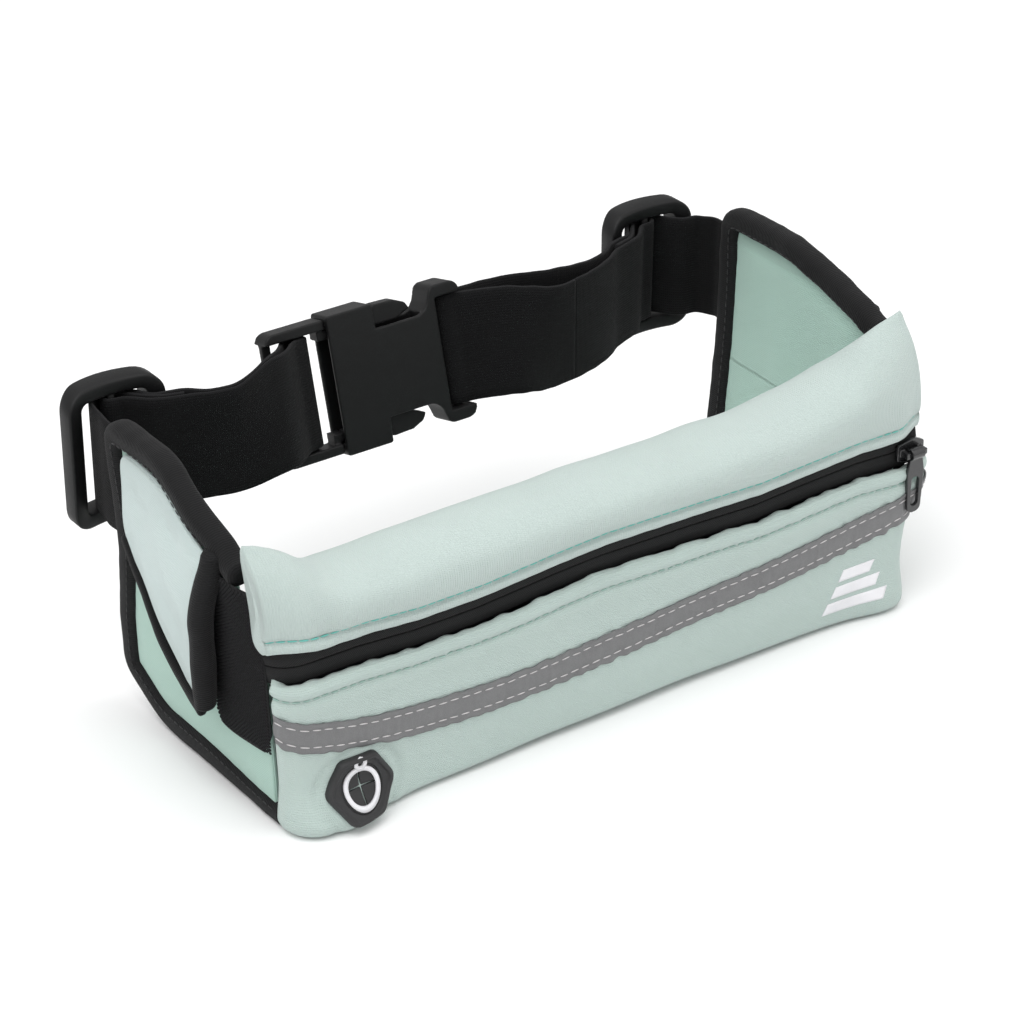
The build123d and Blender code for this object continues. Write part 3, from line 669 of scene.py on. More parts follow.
# Reflective strip, sewn on in two rows.
STRIP_AT = ([-150, -136, -125, -106, -82, -56, -25, 50, 86, 123, 138, 150],
            [41, 39.5, 37, 32, 28.5, 27.2, 27.6, 32.5, 35.2, 39.8, 44.5, 47])


def strip_centre(s):
    kernel = np.linspace(-9, 9, 7)
    return np.mean([np.interp(s + k, *STRIP_AT) for k in kernel], axis=0)


def strip_point(s, t, out):
    """t from -1 to 1 across the strip, whose edges pucker between the stitches."""
    half = 5.5 + 0.28 * wander(s, 5.5, 21) * np.abs(t)
    z = strip_centre(s) + half * t
    pucker = 0.32 * wander(s, 4.5, 22) * ease(np.abs(t), 0.45, 1.0)
    sunk = 0.35 * hill(np.abs(t), 0.58, 0.16)
    crease = 0.16 * wander(s, 3.2, 23) * hill(t, 0, 0.5)
    return front_point(s, z, out + pucker - sunk + crease)


def reflective_strip():
    s = np.linspace(-1, 1, 460) * (FOOT_HALF - CORNER + TURN + 0.8)
    t = np.linspace(-1, 1, 15)
    grid = np.stack([strip_point(s, a, 0.75) for a in t[::-1]])
    form = clothed(grid, 0.6, 0.3)
    rows = [strip_point(np.arange(-133, 133, 1.0), a, 0.86) for a in (-0.58, 0.58)]
    piece = form.made("reflective_strip_sewn", grey_beads)
    settle(piece, nodes=["reflective_strip"])
    settle(stitched("strip_stitches", rows, white_thread, 4.4, 3.3, 0.24))


reflective_strip()


def emblem():
    """Three slanted bars printed on the front."""
    form = Form()
    for i, wide in enumerate((26.0, 20.0, 14.0)):
        t, r = np.meshgrid(np.linspace(0, 1, 30), np.linspace(1, 0, 7))
        s = MARK[0] - 13 + 3.2 * i + wide * t + 2.2 * r
        z = MARK[1] - 8 + 6.0 * i + 4.2 * r
        form.shell(front_point(s, z, 0.22), front_point(s, z, -0.1), 0.0)
    return settle(form.made("emblem_print", white_ink), nodes=["emblem"])


emblem()


# ---- earphone port ---------------------------------------------------------------------------
def port():
    wide, high = PORT_WIDE, PORT_HIGH
    hexagon = rounded([(-wide, 0, 3.4), (-wide / 2, high, 3.4), (wide / 2, high, 3.4),
                       (wide, 0, 3.4), (wide / 2, -high, 3.4), (-wide / 2, -high, 3.4)], 0.6)[:-1]
    angle = np.arctan2(hexagon[:, 1], hexagon[:, 0])
    circle = np.stack([np.cos(angle), np.sin(angle)], -1)
    profile = [(1.0, -0.6), (1.0, 0.7), (0.985, 1.6), (0.955, 2.2), (0.92, 2.55), (0.88, 2.6),
               (0.85, 2.4), (0.83, 1.9), (0.82, 1.75)]
    rings = [hexagon * a for a, _ in profile]
    heights = [h for _, h in profile]
    for radius, h in ((8.1, 1.7), (7.8, 1.55), (7.75, 1.2), (7.75, -0.6)):
        rings.append(circle * radius)
        heights.append(h)
    grid = np.stack([front_point(PORT[0] + r[:, 0], PORT[1] + r[:, 1], h)
                     for r, h in zip(rings, heights)])
    form = Form().grid(grid, wrap=True)
    form.grid(np.stack([grid[-1], grid[0]]), wrap=True)
    settle(form.made("port_grommet_rubber", black_rubber), nodes=["port_grommet"])

    form = Form()
    for quarter in range(4):
        a, r = np.meshgrid(np.linspace(0, 1, 12), np.linspace(0, 1, 9))
        turn = quarter * math.pi / 2
        corner = 0.35 + 6.9 * np.stack([np.cos(a * math.pi / 2), np.sin(a * math.pi / 2)], -1)
        corner = 0.35 + (corner - 0.35) * r[..., None]
        x = corner[..., 0] * math.cos(turn) - corner[..., 1] * math.sin(turn)
        z = corner[..., 0] * math.sin(turn) + corner[..., 1] * math.cos(turn)
        dish = 1.25 - 0.7 * (1 - ease(np.hypot(x, z), 0, 7))
        outer = front_point(PORT[0] + x, PORT[1] + z, dish)
        form.shell(outer, outer + np.array([0, 0.9, 0]), 0.1)
    rim = np.linspace(0, 2 * math.pi, 49)[:-1]
    ring = [front_point(PORT[0] + r * np.cos(rim), PORT[1] + r * np.sin(rim), h)
            for r, h in ((7.0, 0.2), (7.0, 1.3), (7.7, 1.35), (7.7, 0.2))]
    form.grid(np.stack(ring + ring[:1]), wrap=True)
    settle(form.made("port_membrane_rubber", black_rubber),
           nodes=["port_membrane"])

    form = Form()
    for centre, outer, inner in (((0, 0), 6.9, 5.3), ((0.5, 8.0), 2.4, 1.0)):
        ring = [front_point(PORT[0] + centre[0] + r * np.cos(rim),
                            PORT[1] + centre[1] + r * np.sin(rim), h)
                for r, h in ((inner, 1.2), (inner, 1.9), (outer, 1.95), (outer, 1.2))]
        form.grid(np.stack(ring + ring[:1]), wrap=True)
    settle(form.made("port_ring_ink", white_ink), nodes=["port_ring"])


port()


# ---- the padded roll -------------------------------------------------------------------------
ROLL_END = 133.6
CREST = ([-150, -135, -124, -116, -108, -97, -80, -17, 41, 75, 92, 104, 118, 128, 134, 150],
         [103, 102, 98.5, 92.5, 86.2, 86.6, 87.8, 87.6, 87.6, 88.8, 92, 95.5, 102, 106.5, 108, 108])


def roll_top(x):
    return np.mean([np.interp(x + k, *CREST) for k in np.linspace(-5, 5, 5)], axis=0)


ROLL_PROFILE = [  # y from the front, share of the height above the base, part of the seam fold
    (1.6, -0.2, 1), (-0.1, 0.0, 1), (-0.9, 1.2, 1), (-1.0, 2.8, 1), (0.3, 4.0, 1), (-1.2, 5.6, 1),
    (-2.9, 0.47, 0), (-1.4, 0.74, 0), (4.8, 0.93, 0), (14.0, 1.0, 0), (24.0, 0.93, 0),
    (31.5, 0.68, 0), (33.6, 0.36, 0), (33.4, 0.02, 0), (18.0, -0.02, 0), (4.0, -0.03, 0)]


def roll_section(x):
    """The roll's section at x, from its seam fold over the crest and back under it."""
    base = ROLL_BASE + zip_wave(x)
    height = roll_top(x) - base
    seam = 1 + 0.22 * wander(x, 8, 31)
    fat = 1.0 + 0.12 * wander(x, 45, 32)
    points = []
    for y, up, folded in ROLL_PROFILE:
        z = base + (up if folded else up * height)
        if up > 0.3 and not folded:
            z += 0.35 * wander(x, 30, 33, y * 2)
        points.append((FRONT + y * (fat if not folded and y < 0 else 1), z))
    points[4] = (points[4][0] + 0.7 * (seam - 1), points[4][1])
    thin = 0.6 * np.clip((abs(x) - 103) / 31, 0, 1) + 0.4 * ease(abs(x), 100, 134)
    line = np.array(points)
    up = np.clip((line[:, 1] - base) / height, 0, 1)
    behind = line[:, 0] - FRONT - 2.0
    line[:, 0] += (-0.86 * np.clip(behind, 0, None) + 15.0 * up**1.2) * thin
    line[:, 0] += 6.5 * ease(abs(x), 119, 135) * (1 - up)
    closed = through(np.vstack([line, line[:1]]), 1.0)
    along = lengths(closed)
    at = np.concatenate([np.linspace(0, 8, 20, endpoint=False),
                         np.linspace(8, along[-1] * (1 - 1 / 80), 70)])
    return np.stack([np.interp(at, along, closed[:, k]) for k in (0, 1)], -1)


def roll():
    x = np.linspace(-ROLL_END, ROLL_END, 240)
    grid = np.stack([np.insert(roll_section(a), 0, a, axis=1) for a in x])
    n = facing(grid)
    out = -n if (n[120, 40] @ np.array([0, -1, 1])) < 0 else n
    u, v = np.meshgrid(np.linspace(0, 88, grid.shape[1]), x)
    crumple = 0.35 * wander(v, 16, 34, u * 0.5) * (hill(v, -118, 18) + 0.6 * hill(v, 122, 16))
    pucker = 0.28 * wander(v, 5.5, 35) * hill(u, 9.0, 3.2)
    grid = grid + out * (crumple + pucker)[..., None]
    form = Form().grid(grid, wrap=True)
    for side, sign in ((0, -1), (-1, 1)):
        form.capped(grid[side], (0.97, 0.9, 0.75, 0.5, 0.2),
                    np.outer((0.5, 0.8, 0.7, 0.3, 0.2), (sign, 0, 0)))
    # The roll takes the mint knit's lit copy, with painted light from above.
    piece = form.made("top_roll_padding", mint_roll_painted_light)
    settle(piece, nodes=["top_roll"])
    seam = []
    for a in np.arange(-132.5, 132.5, 1.0):
        section = roll_section(a)
        near = section[10:20]
        groove = near[np.argmax(near[:, 0])]
        seam.append((a, groove[0] - 0.15, groove[1]))
    settle(stitched("roll_seam_stitches", [seam], teal_thread, 3.6, 3.3, 0.34))


roll()


# ---- zip -------------------------------------------------------------------------------------
def tape_plan():
    """Plan of the tapes' outer face, from the right end, round the left corner."""
    side = -(132 + FLARE * 5.75 + TAPE + 0.3)
    arc = [(side + 11 - 11 * math.sin(a), TAPE_Y + 11 - 11 * math.cos(a))
           for a in np.linspace(0, math.pi / 2, 10)]
    line = np.array([(131.0, TAPE_Y), *arc, (side, -40.0)])
    return evenly(line[::-1], 1.0)


def tape(name, low, high, node):
    plan = tape_plan()
    along = np.gradient(plan, axis=0)
    out = unit(np.stack([along[:, 1], -along[:, 0]], -1))
    if out[-20, 1] > 0:
        out = -out
    rows = []
    for share in np.linspace(1, 0, 9):
        z = ZIP_Z + low + (high - low) * share + zip_wave(plan[:, 0])
        middle = abs(low + (high - low) * share) / 6.5
        dome = -0.9 * middle**2 + 0.1 * wander(plan[:, 0], 25, 41)
        dome = dome - 0.35 * hill(middle, 0.1, 0.07) + 0.12 * hill(middle, 0.42, 0.05)
        point = plan + out * dome[:, None]
        rows.append(np.column_stack([point, z]))
    piece = clothed(np.stack(rows), 0.7, 0.2).made(name, charcoal_tape)
    return settle(piece, nodes=[node])


tape("zipper_tape_lower_woven", -6.6, -0.25, "zipper_tape_lower")
tape("zipper_tape_upper_woven", 0.25, 6.8, "zipper_tape_upper")
for half, lift in (("lower", -1.2), ("upper", 1.2)):
    x = np.arange(-115.5, 130.5, 1.0)
    line = np.stack([x, np.full_like(x, TAPE_Y + TAPE + 1.0), ZIP_Z + lift + zip_wave(x)], -1)
    settle(along_lines(f"zipper_coil_{half}_turns", COIL, [line], (1.35, 0.85, 0.32), coil_nylon),
           nodes=["zipper_coil_" + half])


# ---- wings and slip pockets ------------------------------------------------------------------
def bend(wing, u, v):
    """How far the wing leans out of its flat plane, inwards."""
    seed = 51 if wing["side"] < 0 else 52
    window = ease(u, -50, -25) * (1 - ease(u, 5, 28)) * ease(v, 5, 30)
    return window * (1.3 * wander(u, 55, seed, v) + 1.2 * np.sin((v - 20) / 30))


def wing_point(wing, u, v, w):
    """u rearwards, v up the wing, w inwards from its outer face."""
    u, v, w = np.broadcast_arrays(*(np.asarray(a, float) for a in (u, v, w)))
    w = w + bend(wing, u, v)
    x = -FOOT_HALF - v * math.sin(LEAN) + w * math.cos(LEAN)
    z = v * math.cos(LEAN) + w * math.sin(LEAN)
    return np.stack([-wing["side"] * x, u, z], -1)


def wing_outline(wing):
    rear, waist, top, shoulder = (wing[k] for k in ("rear", "waist", "top", "shoulder"))
    return rounded([
        (END_SEAM + 0.3, 0, 0), (rear - 24, 0, 30), (rear, 13, 10), (rear - 1, 36, 30),
        (rear - waist - 1, 64, 60), (rear - waist, top, 11), (rear - 43, top, 30),
        (NOTCH + 4, shoulder, 8), (NOTCH, shoulder, 0), (NOTCH, FRONT_TOP, 0),
        (END_SEAM + 0.3, FRONT_TOP, 0)])


def rows_of(outline, inset, low, high, rows, cols):
    """A grid of (u, v) that fills an outline row by row."""
    made = []
    for v in np.linspace(high, low, rows):
        start, end = across(outline, v, inset)
        made.append(np.stack([np.linspace(start, end, cols), np.full(cols, v)], -1))
    return np.stack(made)


def wing_panel(name, wing):
    outline = wing_outline(wing)
    spots = rows_of(outline, 4.2, 4.0, wing["top"] - 4.4, 90, 70)
    spots[..., 0] += 6 * hill(spots[..., 1], wing["shoulder"] - 1, 7) * np.linspace(1, 0, 70)
    u, v = spots[..., 0], spots[..., 1]
    inside = from_edge(spots, outline)
    seed = 60 + wing["side"]
    plump = 1.1 + 1.0 * ease(inside, 6, 17)
    crease = 0.35 * wander(u, 26, seed, v * 0.6) * ease(inside, 5, 20)
    outer = wing_point(wing, u, v, 2 - plump + 0.3 * crease)
    inner = wing_point(wing, u, v, 2 + plump + crease)
    # The wing panels take the mint knit's copy with painted bounce light.
    piece = Form().shell(outer, inner, 0.2).made(name + "_wing_panel_knit", mint_wing_painted_bounce)
    return settle(piece, nodes=[name + "_wing_panel"])


def swept(line, inward, normal, wide, thick, seed, power=2.7, points=22):
    """A soft binding's sections along a line: wide across the cloth, thick through it."""
    turn = np.linspace(0, 2 * math.pi, points + 1)[:-1]
    c, s = np.cos(turn), np.sin(turn)
    along = lengths(line)
    a = np.sign(c) * np.abs(c) ** (2 / power)
    b = np.sign(s) * np.abs(s) ** (2 / power)
    plump = 1 + 0.035 * wander(along, 13, seed)[:, None]
    lumps = 1 + 0.03 * wander(along, 6, seed + 1)[:, None]
    grid = (line[:, None] + inward[:, None] * (a * wide[:, None] * lumps / 2)[..., None]
            + normal[:, None] * (b * thick[:, None] * plump / 2)[..., None])
    return grid


def tube(grid):
    """A tube from its sections, its ends rounded off."""
    form = Form().grid(grid, wrap=True)
    for end, step in ((0, 1), (-1, -1)):
        ahead = unit(grid[end].mean(0) - grid[end + step].mean(0))
        form.capped(grid[end], (0.9, 0.7, 0.4), np.outer((0.7, 1.2, 1.5), ahead))
    return form


def inward_of(line):
    along = unit(np.gradient(line, axis=0))
    return np.stack([-along[:, 1], along[:, 0]], -1)


def binding_path(outline, start, end):
    """The outline from one place on it to another, and the way in from it."""
    line = outline[:-1]
    first = np.argmin(np.linalg.norm(line - start, axis=1))
    line = np.roll(line, -first, axis=0)
    last = np.argmin(np.linalg.norm(line - end, axis=1))
    line = line[: last + 1]
    kernel = np.ones(7) / 7
    padded = np.vstack([np.repeat(line[:1], 3, 0), line, np.repeat(line[-1:], 3, 0)])
    line = np.stack([np.convolve(padded[:, k], kernel, "valid") for k in (0, 1)], -1)
    return line, inward_of(line)


def wing_binding(name, wing):
    outline = wing_outline(wing)
    path, inward = binding_path(outline, (END_SEAM + 1, 0), (NOTCH, wing["shoulder"]))
    at = lengths(path) / lengths(path)[-1]
    wide = 7.6 + 2.4 * ease(at, 0.02, 0.16) - 0.8 * ease(at, 0.3, 0.4) - 0.6 * ease(at, 0.6, 0.72)
    thick = 5.4 + 1.6 * ease(at, 0.05, 0.4) + 1.8 * ease(at, 0.58, 0.72)
    path = path + inward * (wide / 2 - 0.2)[:, None]
    u, v = path[:, 0], path[:, 1]
    dip = 2 * ease(at, 0.965, 1.0)
    centre = wing_point(wing, u, v - dip, 2.0)
    across_it = wing_point(wing, u + inward[:, 0], v - dip + inward[:, 1], 2.0) - centre
    normal = wing_point(wing, u, v - dip, 3.0) - centre
    grid = swept(centre, across_it, normal, wide, thick, 70 + wing["side"])
    grid[..., 2] = np.maximum(grid[..., 2], 0.0)
    piece = tube(grid).made(name + "_wing_binding_knit", black_knit)
    settle(piece, nodes=[name + "_wing_binding"])
    rows = []
    for w in (2 - 0.5 * thick - 0.02, 2 + 0.5 * thick + 0.02):
        reach = 0.26 * wide
        rows.append(wing_point(wing, u + inward[:, 0] * reach,
                               v - dip + inward[:, 1] * reach, w)[4:-6])
    settle(stitched(name + "_wing_binding_stitches", rows, black_thread, 3.2, 2.6, 0.22))


POCKET_FRONT, POCKET_FOOT = -34.0, 36.0


def pocket_point(wing, u, v, w):
    """On the slip pocket, which stands off the wing towards its mouth; w inwards."""
    u, v, w = np.broadcast_arrays(*(np.asarray(a, float) for a in (u, v, w)))
    back = wing["rear"] - wing["waist"] - BINDING
    share = np.clip((back - u) / (back - POCKET_FRONT), 0, 1.15)
    stand = 7.6 * share**0.85 * (1 - 0.85 * ease(v, 66, 98))
    return wing_point(wing, u, v, w - 2.7 + 1.3 * ease(v, 72, 96) - stand)


def pocket_outline(wing, grow):
    rear, waist, top = wing["rear"], wing["waist"], wing["top"]
    back, high = rear - waist - BINDING - 0.3, top - BINDING + 0.6
    return rounded([
        (POCKET_FRONT - grow, POCKET_FOOT - 1.6 * grow, 3),
        (POCKET_FRONT + 14, POCKET_FOOT + 2 - 1.3 * grow, 12), (back, 70 - 1.3 * grow, 20),
        (back, high, 9), (rear - 43, high - 2, 24),
        (POCKET_FRONT - grow, wing["shoulder"] - 5, 3)])


def pocket(name, wing):
    outline = pocket_outline(wing, 0)
    high = wing["top"] - BINDING
    spots = rows_of(outline, 0.3, POCKET_FOOT + 0.3, high, 60, 50)
    u, v = spots[..., 0], spots[..., 1]
    inside = from_edge(spots, outline)
    seed = 80 + wing["side"]
    soft = 0.6 * wander(u, 24, seed, v) * ease(inside, 0, 10)
    outer = pocket_point(wing, u, v, 0.2 - 0.5 * ease(inside, 0, 8) + soft)
    inner = pocket_point(wing, u, v, 2.0 + soft)
    # The pocket panels take the mint knit's lit copy, with painted light.
    piece = Form().shell(outer, inner, 0.3).made(name + "_pocket_panel_knit", mint_pocket_painted_light)
    settle(piece, nodes=[name + "_pocket_panel"])

    # The lower edge's binding, then the mouth's rolled tube.
    path = through([(-31, 33.8), (-22, 34.4), (-12, 38.2), (4, 50.5), (14, 59.5),
                    (wing["rear"] - wing["waist"] - BINDING - 1, 70.5)], 1.0)
    inward = inward_of(path)
    u, v = path[:, 0], path[:, 1]
    centre = pocket_point(wing, u, v, 0.9)
    across_it = pocket_point(wing, u + inward[:, 0], v + inward[:, 1], 0.9) - centre
    normal = pocket_point(wing, u, v, 1.9) - centre
    size = np.full(len(u), 1.0)
    lower = tube(swept(centre, across_it, normal, 4.4 * size, 3.6 * size, seed + 3)).made(
        name + "_lower_edge", black_knit)
    v = np.linspace(38.5, wing["shoulder"] - 2, 60)
    u = np.full_like(v, POCKET_FRONT - 1.0) + 0.5 * wander(v, 40, seed + 5)
    centre = pocket_point(wing, u, v, 1.0)
    across_it = pocket_point(wing, u + 1, v, 1.0) - centre
    normal = pocket_point(wing, u, v, 2.0) - centre
    fat = 9.4 * (1 - 0.12 * (1 - ease(v, 38.5, 43))) * (1 - 0.3 * ease(v, 76, 96))
    mouth = tube(swept(centre, across_it, normal, fat, fat * 0.93, seed + 4, 2.2)).made(
        name + "_mouth_roll", black_knit)
    settle(together(name + "_pocket_binding_knit", [lower, mouth]),
           nodes=[name + "_pocket_binding"])


def gusset(name, wing):
    """Knitted mesh that joins the pocket's mouth to the pouch: a thin sheet under slanted cords."""
    low, high, back = 27.5, wing["shoulder"] - 8, POCKET_FRONT + 6
    front_at = lambda v: np.interp(v, [60, 70, 96], [END_SEAM + 0.6, END_SEAM + 2.6, NOTCH - 2.5])
    share, v = np.meshgrid(np.linspace(0, 1, 40), np.linspace(high, low, 80))
    front = front_at(v)
    round_off = 8 * (1 - ease(v, low, low + 9)) * np.abs(share - 0.5)
    u = front + share * (back - front) + np.where(share > 0.5, -1, 1) * round_off
    slack = lambda a, b: -2.2 * np.sin(
        np.clip((a - front_at(b)) / (back - front_at(b)), 0, 1) * math.pi * 0.75)
    at = lambda a, b, w: wing_point(wing, a, b, w + slack(a, b))  # on the slack mesh
    outer = at(u, v, -0.6)
    piece = Form().shell(outer, at(u, v, -0.1), 0.1).made(name + "_sheet", black_mesh)
    cords = []
    for k in np.arange(low - 30, high + 14, 1.25):
        a = np.arange(END_SEAM + 1.6, back - 1, 0.8)
        b = k + (a - END_SEAM) * 0.75
        keep = (b > low + 1.0) & (b < high - 0.5) & (a > front_at(b) + 0.5)
        keep &= np.hypot(np.clip(back - 7 - a, None, 0), np.clip(b - low - 7, None, 0)) < 7
        a, b = a[keep], b[keep]
        if len(a) > 3:
            cords.append(at(a, b, -0.75))
    ribs = stitched(name + "_cords", cords, black_mesh, 1.1, 1.25, 0.42)
    whole = together(name + "_mesh_gusset_knit", [piece, ribs])
    return settle(whole, nodes=[name + "_mesh_gusset"])


for side_name, side_wing in WINGS.items():
    wing_panel(side_name, side_wing)
    wing_binding(side_name, side_wing)
    pocket(side_name, side_wing)
    gusset(side_name, side_wing)


# ---- back panel and lining -------------------------------------------------------------------
def back_panel():
    t, z = np.meshgrid(np.linspace(-1, 1, 120), np.linspace(ROLL_BASE + 1.5, 0.4, 34))
    x = t * (FOOT_HALF - 4.5 + FLARE * z)
    crown = 0.9 * wander(x, 70, 91, z) * ease(z, 0, 12) * (1 - ease(z, 56, 67))
    edge = -1.2 * hill(z, 0, 3)
    face = np.stack([x, BACK + 0.2 + crown + edge, z + 0 * x], -1)
    piece = Form().shell(face, face - np.array([0, KNIT, 0]), 0.4).made(
        "back_panel_cloth", mint)
    return settle(piece, nodes=["back_panel"])


back_panel()


def lining():
    """A thin bag that hangs inside the pouch."""
    rings = []
    for z, draw in [*[(z, 0.0) for z in np.linspace(51.0, 9.0, 22)], (6.5, 1.0), (5.2, 3.0),
                    (4.8, 8.0), (4.8, 11.5)]:
        half = FOOT_HALF + FLARE * z - 5.2 - draw
        front, back = FRONT + 5.2 + draw, BACK - 5.2 - draw
        ring = rounded([(-half, front, 6), (half, front, 6), (half, back, 4), (-half, back, 4)],
                       2.0)
        ring = evenly(ring, lengths(ring)[-1] / 200)[:-1]
        ease_in = 0.5 * wander(ring[:, 0], 20, 95, ring[:, 1] + z)
        ring = ring * (1 - 0.004 * ease_in[:, None])
        rings.append(np.column_stack([ring, np.full(len(ring), z)]))
    grid = np.stack(rings)
    piece = Form().grid(grid, wrap=True).made("pouch_lining_bag", lining_nylon)
    wall = piece.modifiers.new("wall", "SOLIDIFY")
    wall.thickness, wall.offset = 0.0004, -1
    baked(piece)
    return settle(piece, nodes=["pouch_lining"])


lining()


# ---- belt webbing ----------------------------------------------------------------------------
WEAVE = [(-3, 8.8), (0.3, 9.1), (4.6, 8.2), (9.2, 3.2), (12.6, -1.7), (17, -2.8), (22, -4.6)]
FOLDED = [(24, -10.4), (18, -8.0), (13.5, -6.4), (9.4, -4.4), (6.0, -0.8), (3.2, 1.8), (0.3, 2.35),
          (-2.0, 2.8), (-2.9, 4.75), (-2.0, 6.7), (0.3, 7.15), (3.5, 6.3), (6.7, 2.9),
          (10.0, -1.3), (13.2, -3.95), (17, -5.3), (21.5, -7.0)]
REAR_LEG = 2.65
LOOP = [(0, REAR_LEG), (2.6, 1.35), (2.6, -1.35), (0, -REAR_LEG)]


def strap_route(hand, lead, slide, bar_x, out, back):
    """Plan route: wing, over the slide's middle bar, round the buckle's bar, back round the
    middle bar, and sewn down. hand is 1 where the buckle lies towards +x."""
    at_slide = lambda points: [(slide[0] + hand * a, slide[1] + b) for a, b in points]
    at_bar = lambda points: [(bar_x + hand * a, BUCKLE_Y + b) for a, b in points]
    return lead + at_slide(WEAVE) + at_bar(out + LOOP + back) + at_slide(FOLDED)


left_exit = (-FOOT_HALF - FLARE * WEB_Z + 2, 32.2)
LEFT_ROUTE = strap_route(
    1, [left_exit, (left_exit[0], 37.2), (left_exit[0] + 0.9, 42.2), (-128.5, 51.7)],
    LEFT_SLIDE, PLUG_X - 10,
    [(-44, -11.9), (-37, -13.6), (-29.6, -14.2), (-22.5, -13.9), (-16.8, -11.2), (-12, -7.5),
     (-8, -3), (-4.3, 1.4)],
    [(-3.5, -4.0), (-6.5, -7.0), (-9.5, -10.3), (-13, -13.6), (-17, -15.6), (-22.5, -16.1),
     (-29.6, -16.2), (-37, -15.8), (-44, -14.3)])
right_exit = (-left_exit[0], 43.2)
RIGHT_ROUTE = strap_route(
    -1, [right_exit, (right_exit[0], 47.2), (right_exit[0] - 2.5, 51.6), (126.5, 53.9),
         (122.1, 54.5), (118.3, 57.6), (115.1, 62.6)],
    RIGHT_SLIDE, PLUG_X + 50,
    [(-67.5, -0.8), (-58.5, -3.1), (-47, -2.2), (-34.6, 0.9), (-22, 2.4), (-10, REAR_LEG),
     (-5, REAR_LEG)],
    [(-4.5, -3.1), (-10, -6.4), (-15, -10.4), (-21, -13.6), (-30, -14.6), (-39, -14.2),
     (-48.5, -12.6), (-58.5, -9.7), (-67.5, -5.4)])


def strap_sections(line, level_x, lean_x, seed):
    """The webbing's sections on edge along its plan, leaning with the buckle near it."""
    along = unit(np.gradient(line, axis=0))
    far = lengths(line)
    lean = BUCKLE_LEAN * ease(line[:, 0], *sorted((level_x, lean_x)))
    if level_x > lean_x:
        lean = BUCKLE_LEAN - lean
    near = BUCKLE_Y - line[:, 1]
    centre = np.stack([line[:, 0], BUCKLE_Y - near * np.cos(lean), WEB_Z + near * np.sin(lean)], -1)
    up = np.stack([0 * lean, np.sin(lean), np.cos(lean)], -1)
    ahead = np.stack([along[:, 0], along[:, 1] * np.cos(lean), -along[:, 1] * np.sin(lean)], -1)
    side = unit(np.cross(up, ahead))
    half = WEB_WIDTH / 2
    q = np.concatenate([np.linspace(-half + 0.7, half - 0.7, 13), [half - 0.15],
                        np.linspace(half - 0.7, -half + 0.7, 13), [-half + 0.15]])
    w = np.concatenate([np.full(13, WEB / 2), [0], np.full(13, -WEB / 2), [0]])
    edge = 0.12 * wander(far, 9, seed)[:, None] * np.sign(q) * (q / half) ** 2
    cup = 0.2 * wander(far, 60, seed + 1)[:, None] * (q / half)
    return (centre[:, None] + up[:, None] * (q + edge)[..., None]
            + side[:, None] * (w + cup)[..., None])


def passes(line, x):
    """Where the line crosses a level x, in order."""
    before, after = line[:-1, 0] - x, line[1:, 0] - x
    return list(np.nonzero(before * after <= 0)[0])


def web_piece(name, sections, runs):
    form = Form()
    for a, b in runs:
        part = sections[a: b + 1]
        form.grid(part, wrap=True)
        form.fan(part[0])
        form.fan(part[-1])
    return form.made(name, black_webbing)


def sewn_band(name, sections, at):
    """Rows of stitches up the webbing where its end is sewn down."""
    lines = []
    for offset in (-3, -1, 1, 3):
        row = sections[at + offset]
        front, back = row[1:12], row[15:26][::-1]
        for body in (front, back):
            lines.append(body + (body - (front + back) / 2) * 0.08)
    return stitched(name, lines, black_thread, 2.2, 1.9, 0.3)


LEFT_LEAN = (-86, -64)      # x where a strap is upright, and where it leans with the buckle
RIGHT_LEAN = (52, 26)
SOCKET_SPLIT = 58.0         # x where the right strap's pieces by the slide and the socket meet


def belt():
    line = through(LEFT_ROUTE, 1.0)
    sections = strap_sections(line, *LEFT_LEAN, 101)
    bar = passes(line, LEFT_SLIDE[0])[0]
    near = web_piece("left_strap_by_wing", sections, [(0, bar)])
    far = web_piece("left_strap_far", sections, [(bar, len(line) - 1)])
    band = sewn_band("left_band", sections, len(line) - 6)
    far = together("left_strap_by_plug", [far, band])
    settle(near, None, ["left_strap"])
    settle(far, None, ["left_strap"])
    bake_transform(near)
    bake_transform(far)

    line = through(RIGHT_ROUTE, 1.0)
    sections = strap_sections(line, *RIGHT_LEAN, 111)
    bar = passes(line, RIGHT_SLIDE[0])[0]
    out, back = [i for i in passes(line, SOCKET_SPLIT)][:2]
    near = web_piece("right_strap_by_wing", sections, [(0, bar)])
    middle = web_piece("right_strap_mid", sections, [(bar, out), (back, len(line) - 1)])
    band = sewn_band("right_band", sections, len(line) - 6)
    middle = together("right_strap_by_slide", [middle, band])
    far = web_piece("right_strap_by_socket", sections, [(out, back)])
    for piece in (near, middle, far):
        settle(piece, None, ["right_strap"])
    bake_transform(near)
    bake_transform(middle)
    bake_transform(far)


belt()


# ---- moulded and metal hardware --------------------------------------------------------------
def moulded(node, finish, body, voxel=0.42, rounds=6):
    """The node's own solid with its edges rounded off as a mould leaves them."""
    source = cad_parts[node]
    shape = bmesh.new()
    shape.from_mesh(source.data)
    bmesh.ops.remove_doubles(shape, verts=shape.verts, dist=2e-6)
    mesh = bpy.data.meshes.new(node)
    shape.to_mesh(mesh)
    shape.free()
    mesh.materials.clear()
    piece = placed(node + "_moulded", mesh)
    cast = piece.modifiers.new("cast", "REMESH")
    cast.mode, cast.voxel_size, cast.use_smooth_shade = "VOXEL", voxel / 1000, True
    soft = piece.modifiers.new("soft", "SMOOTH")
    soft.factor, soft.iterations = 0.5, rounds
    baked(piece)
    piece.data.materials.clear()
    piece.data.materials.append(finish)
    piece.data.polygons.foreach_set("use_smooth", [True] * len(piece.data.polygons))
    return settle(piece, body, [node])


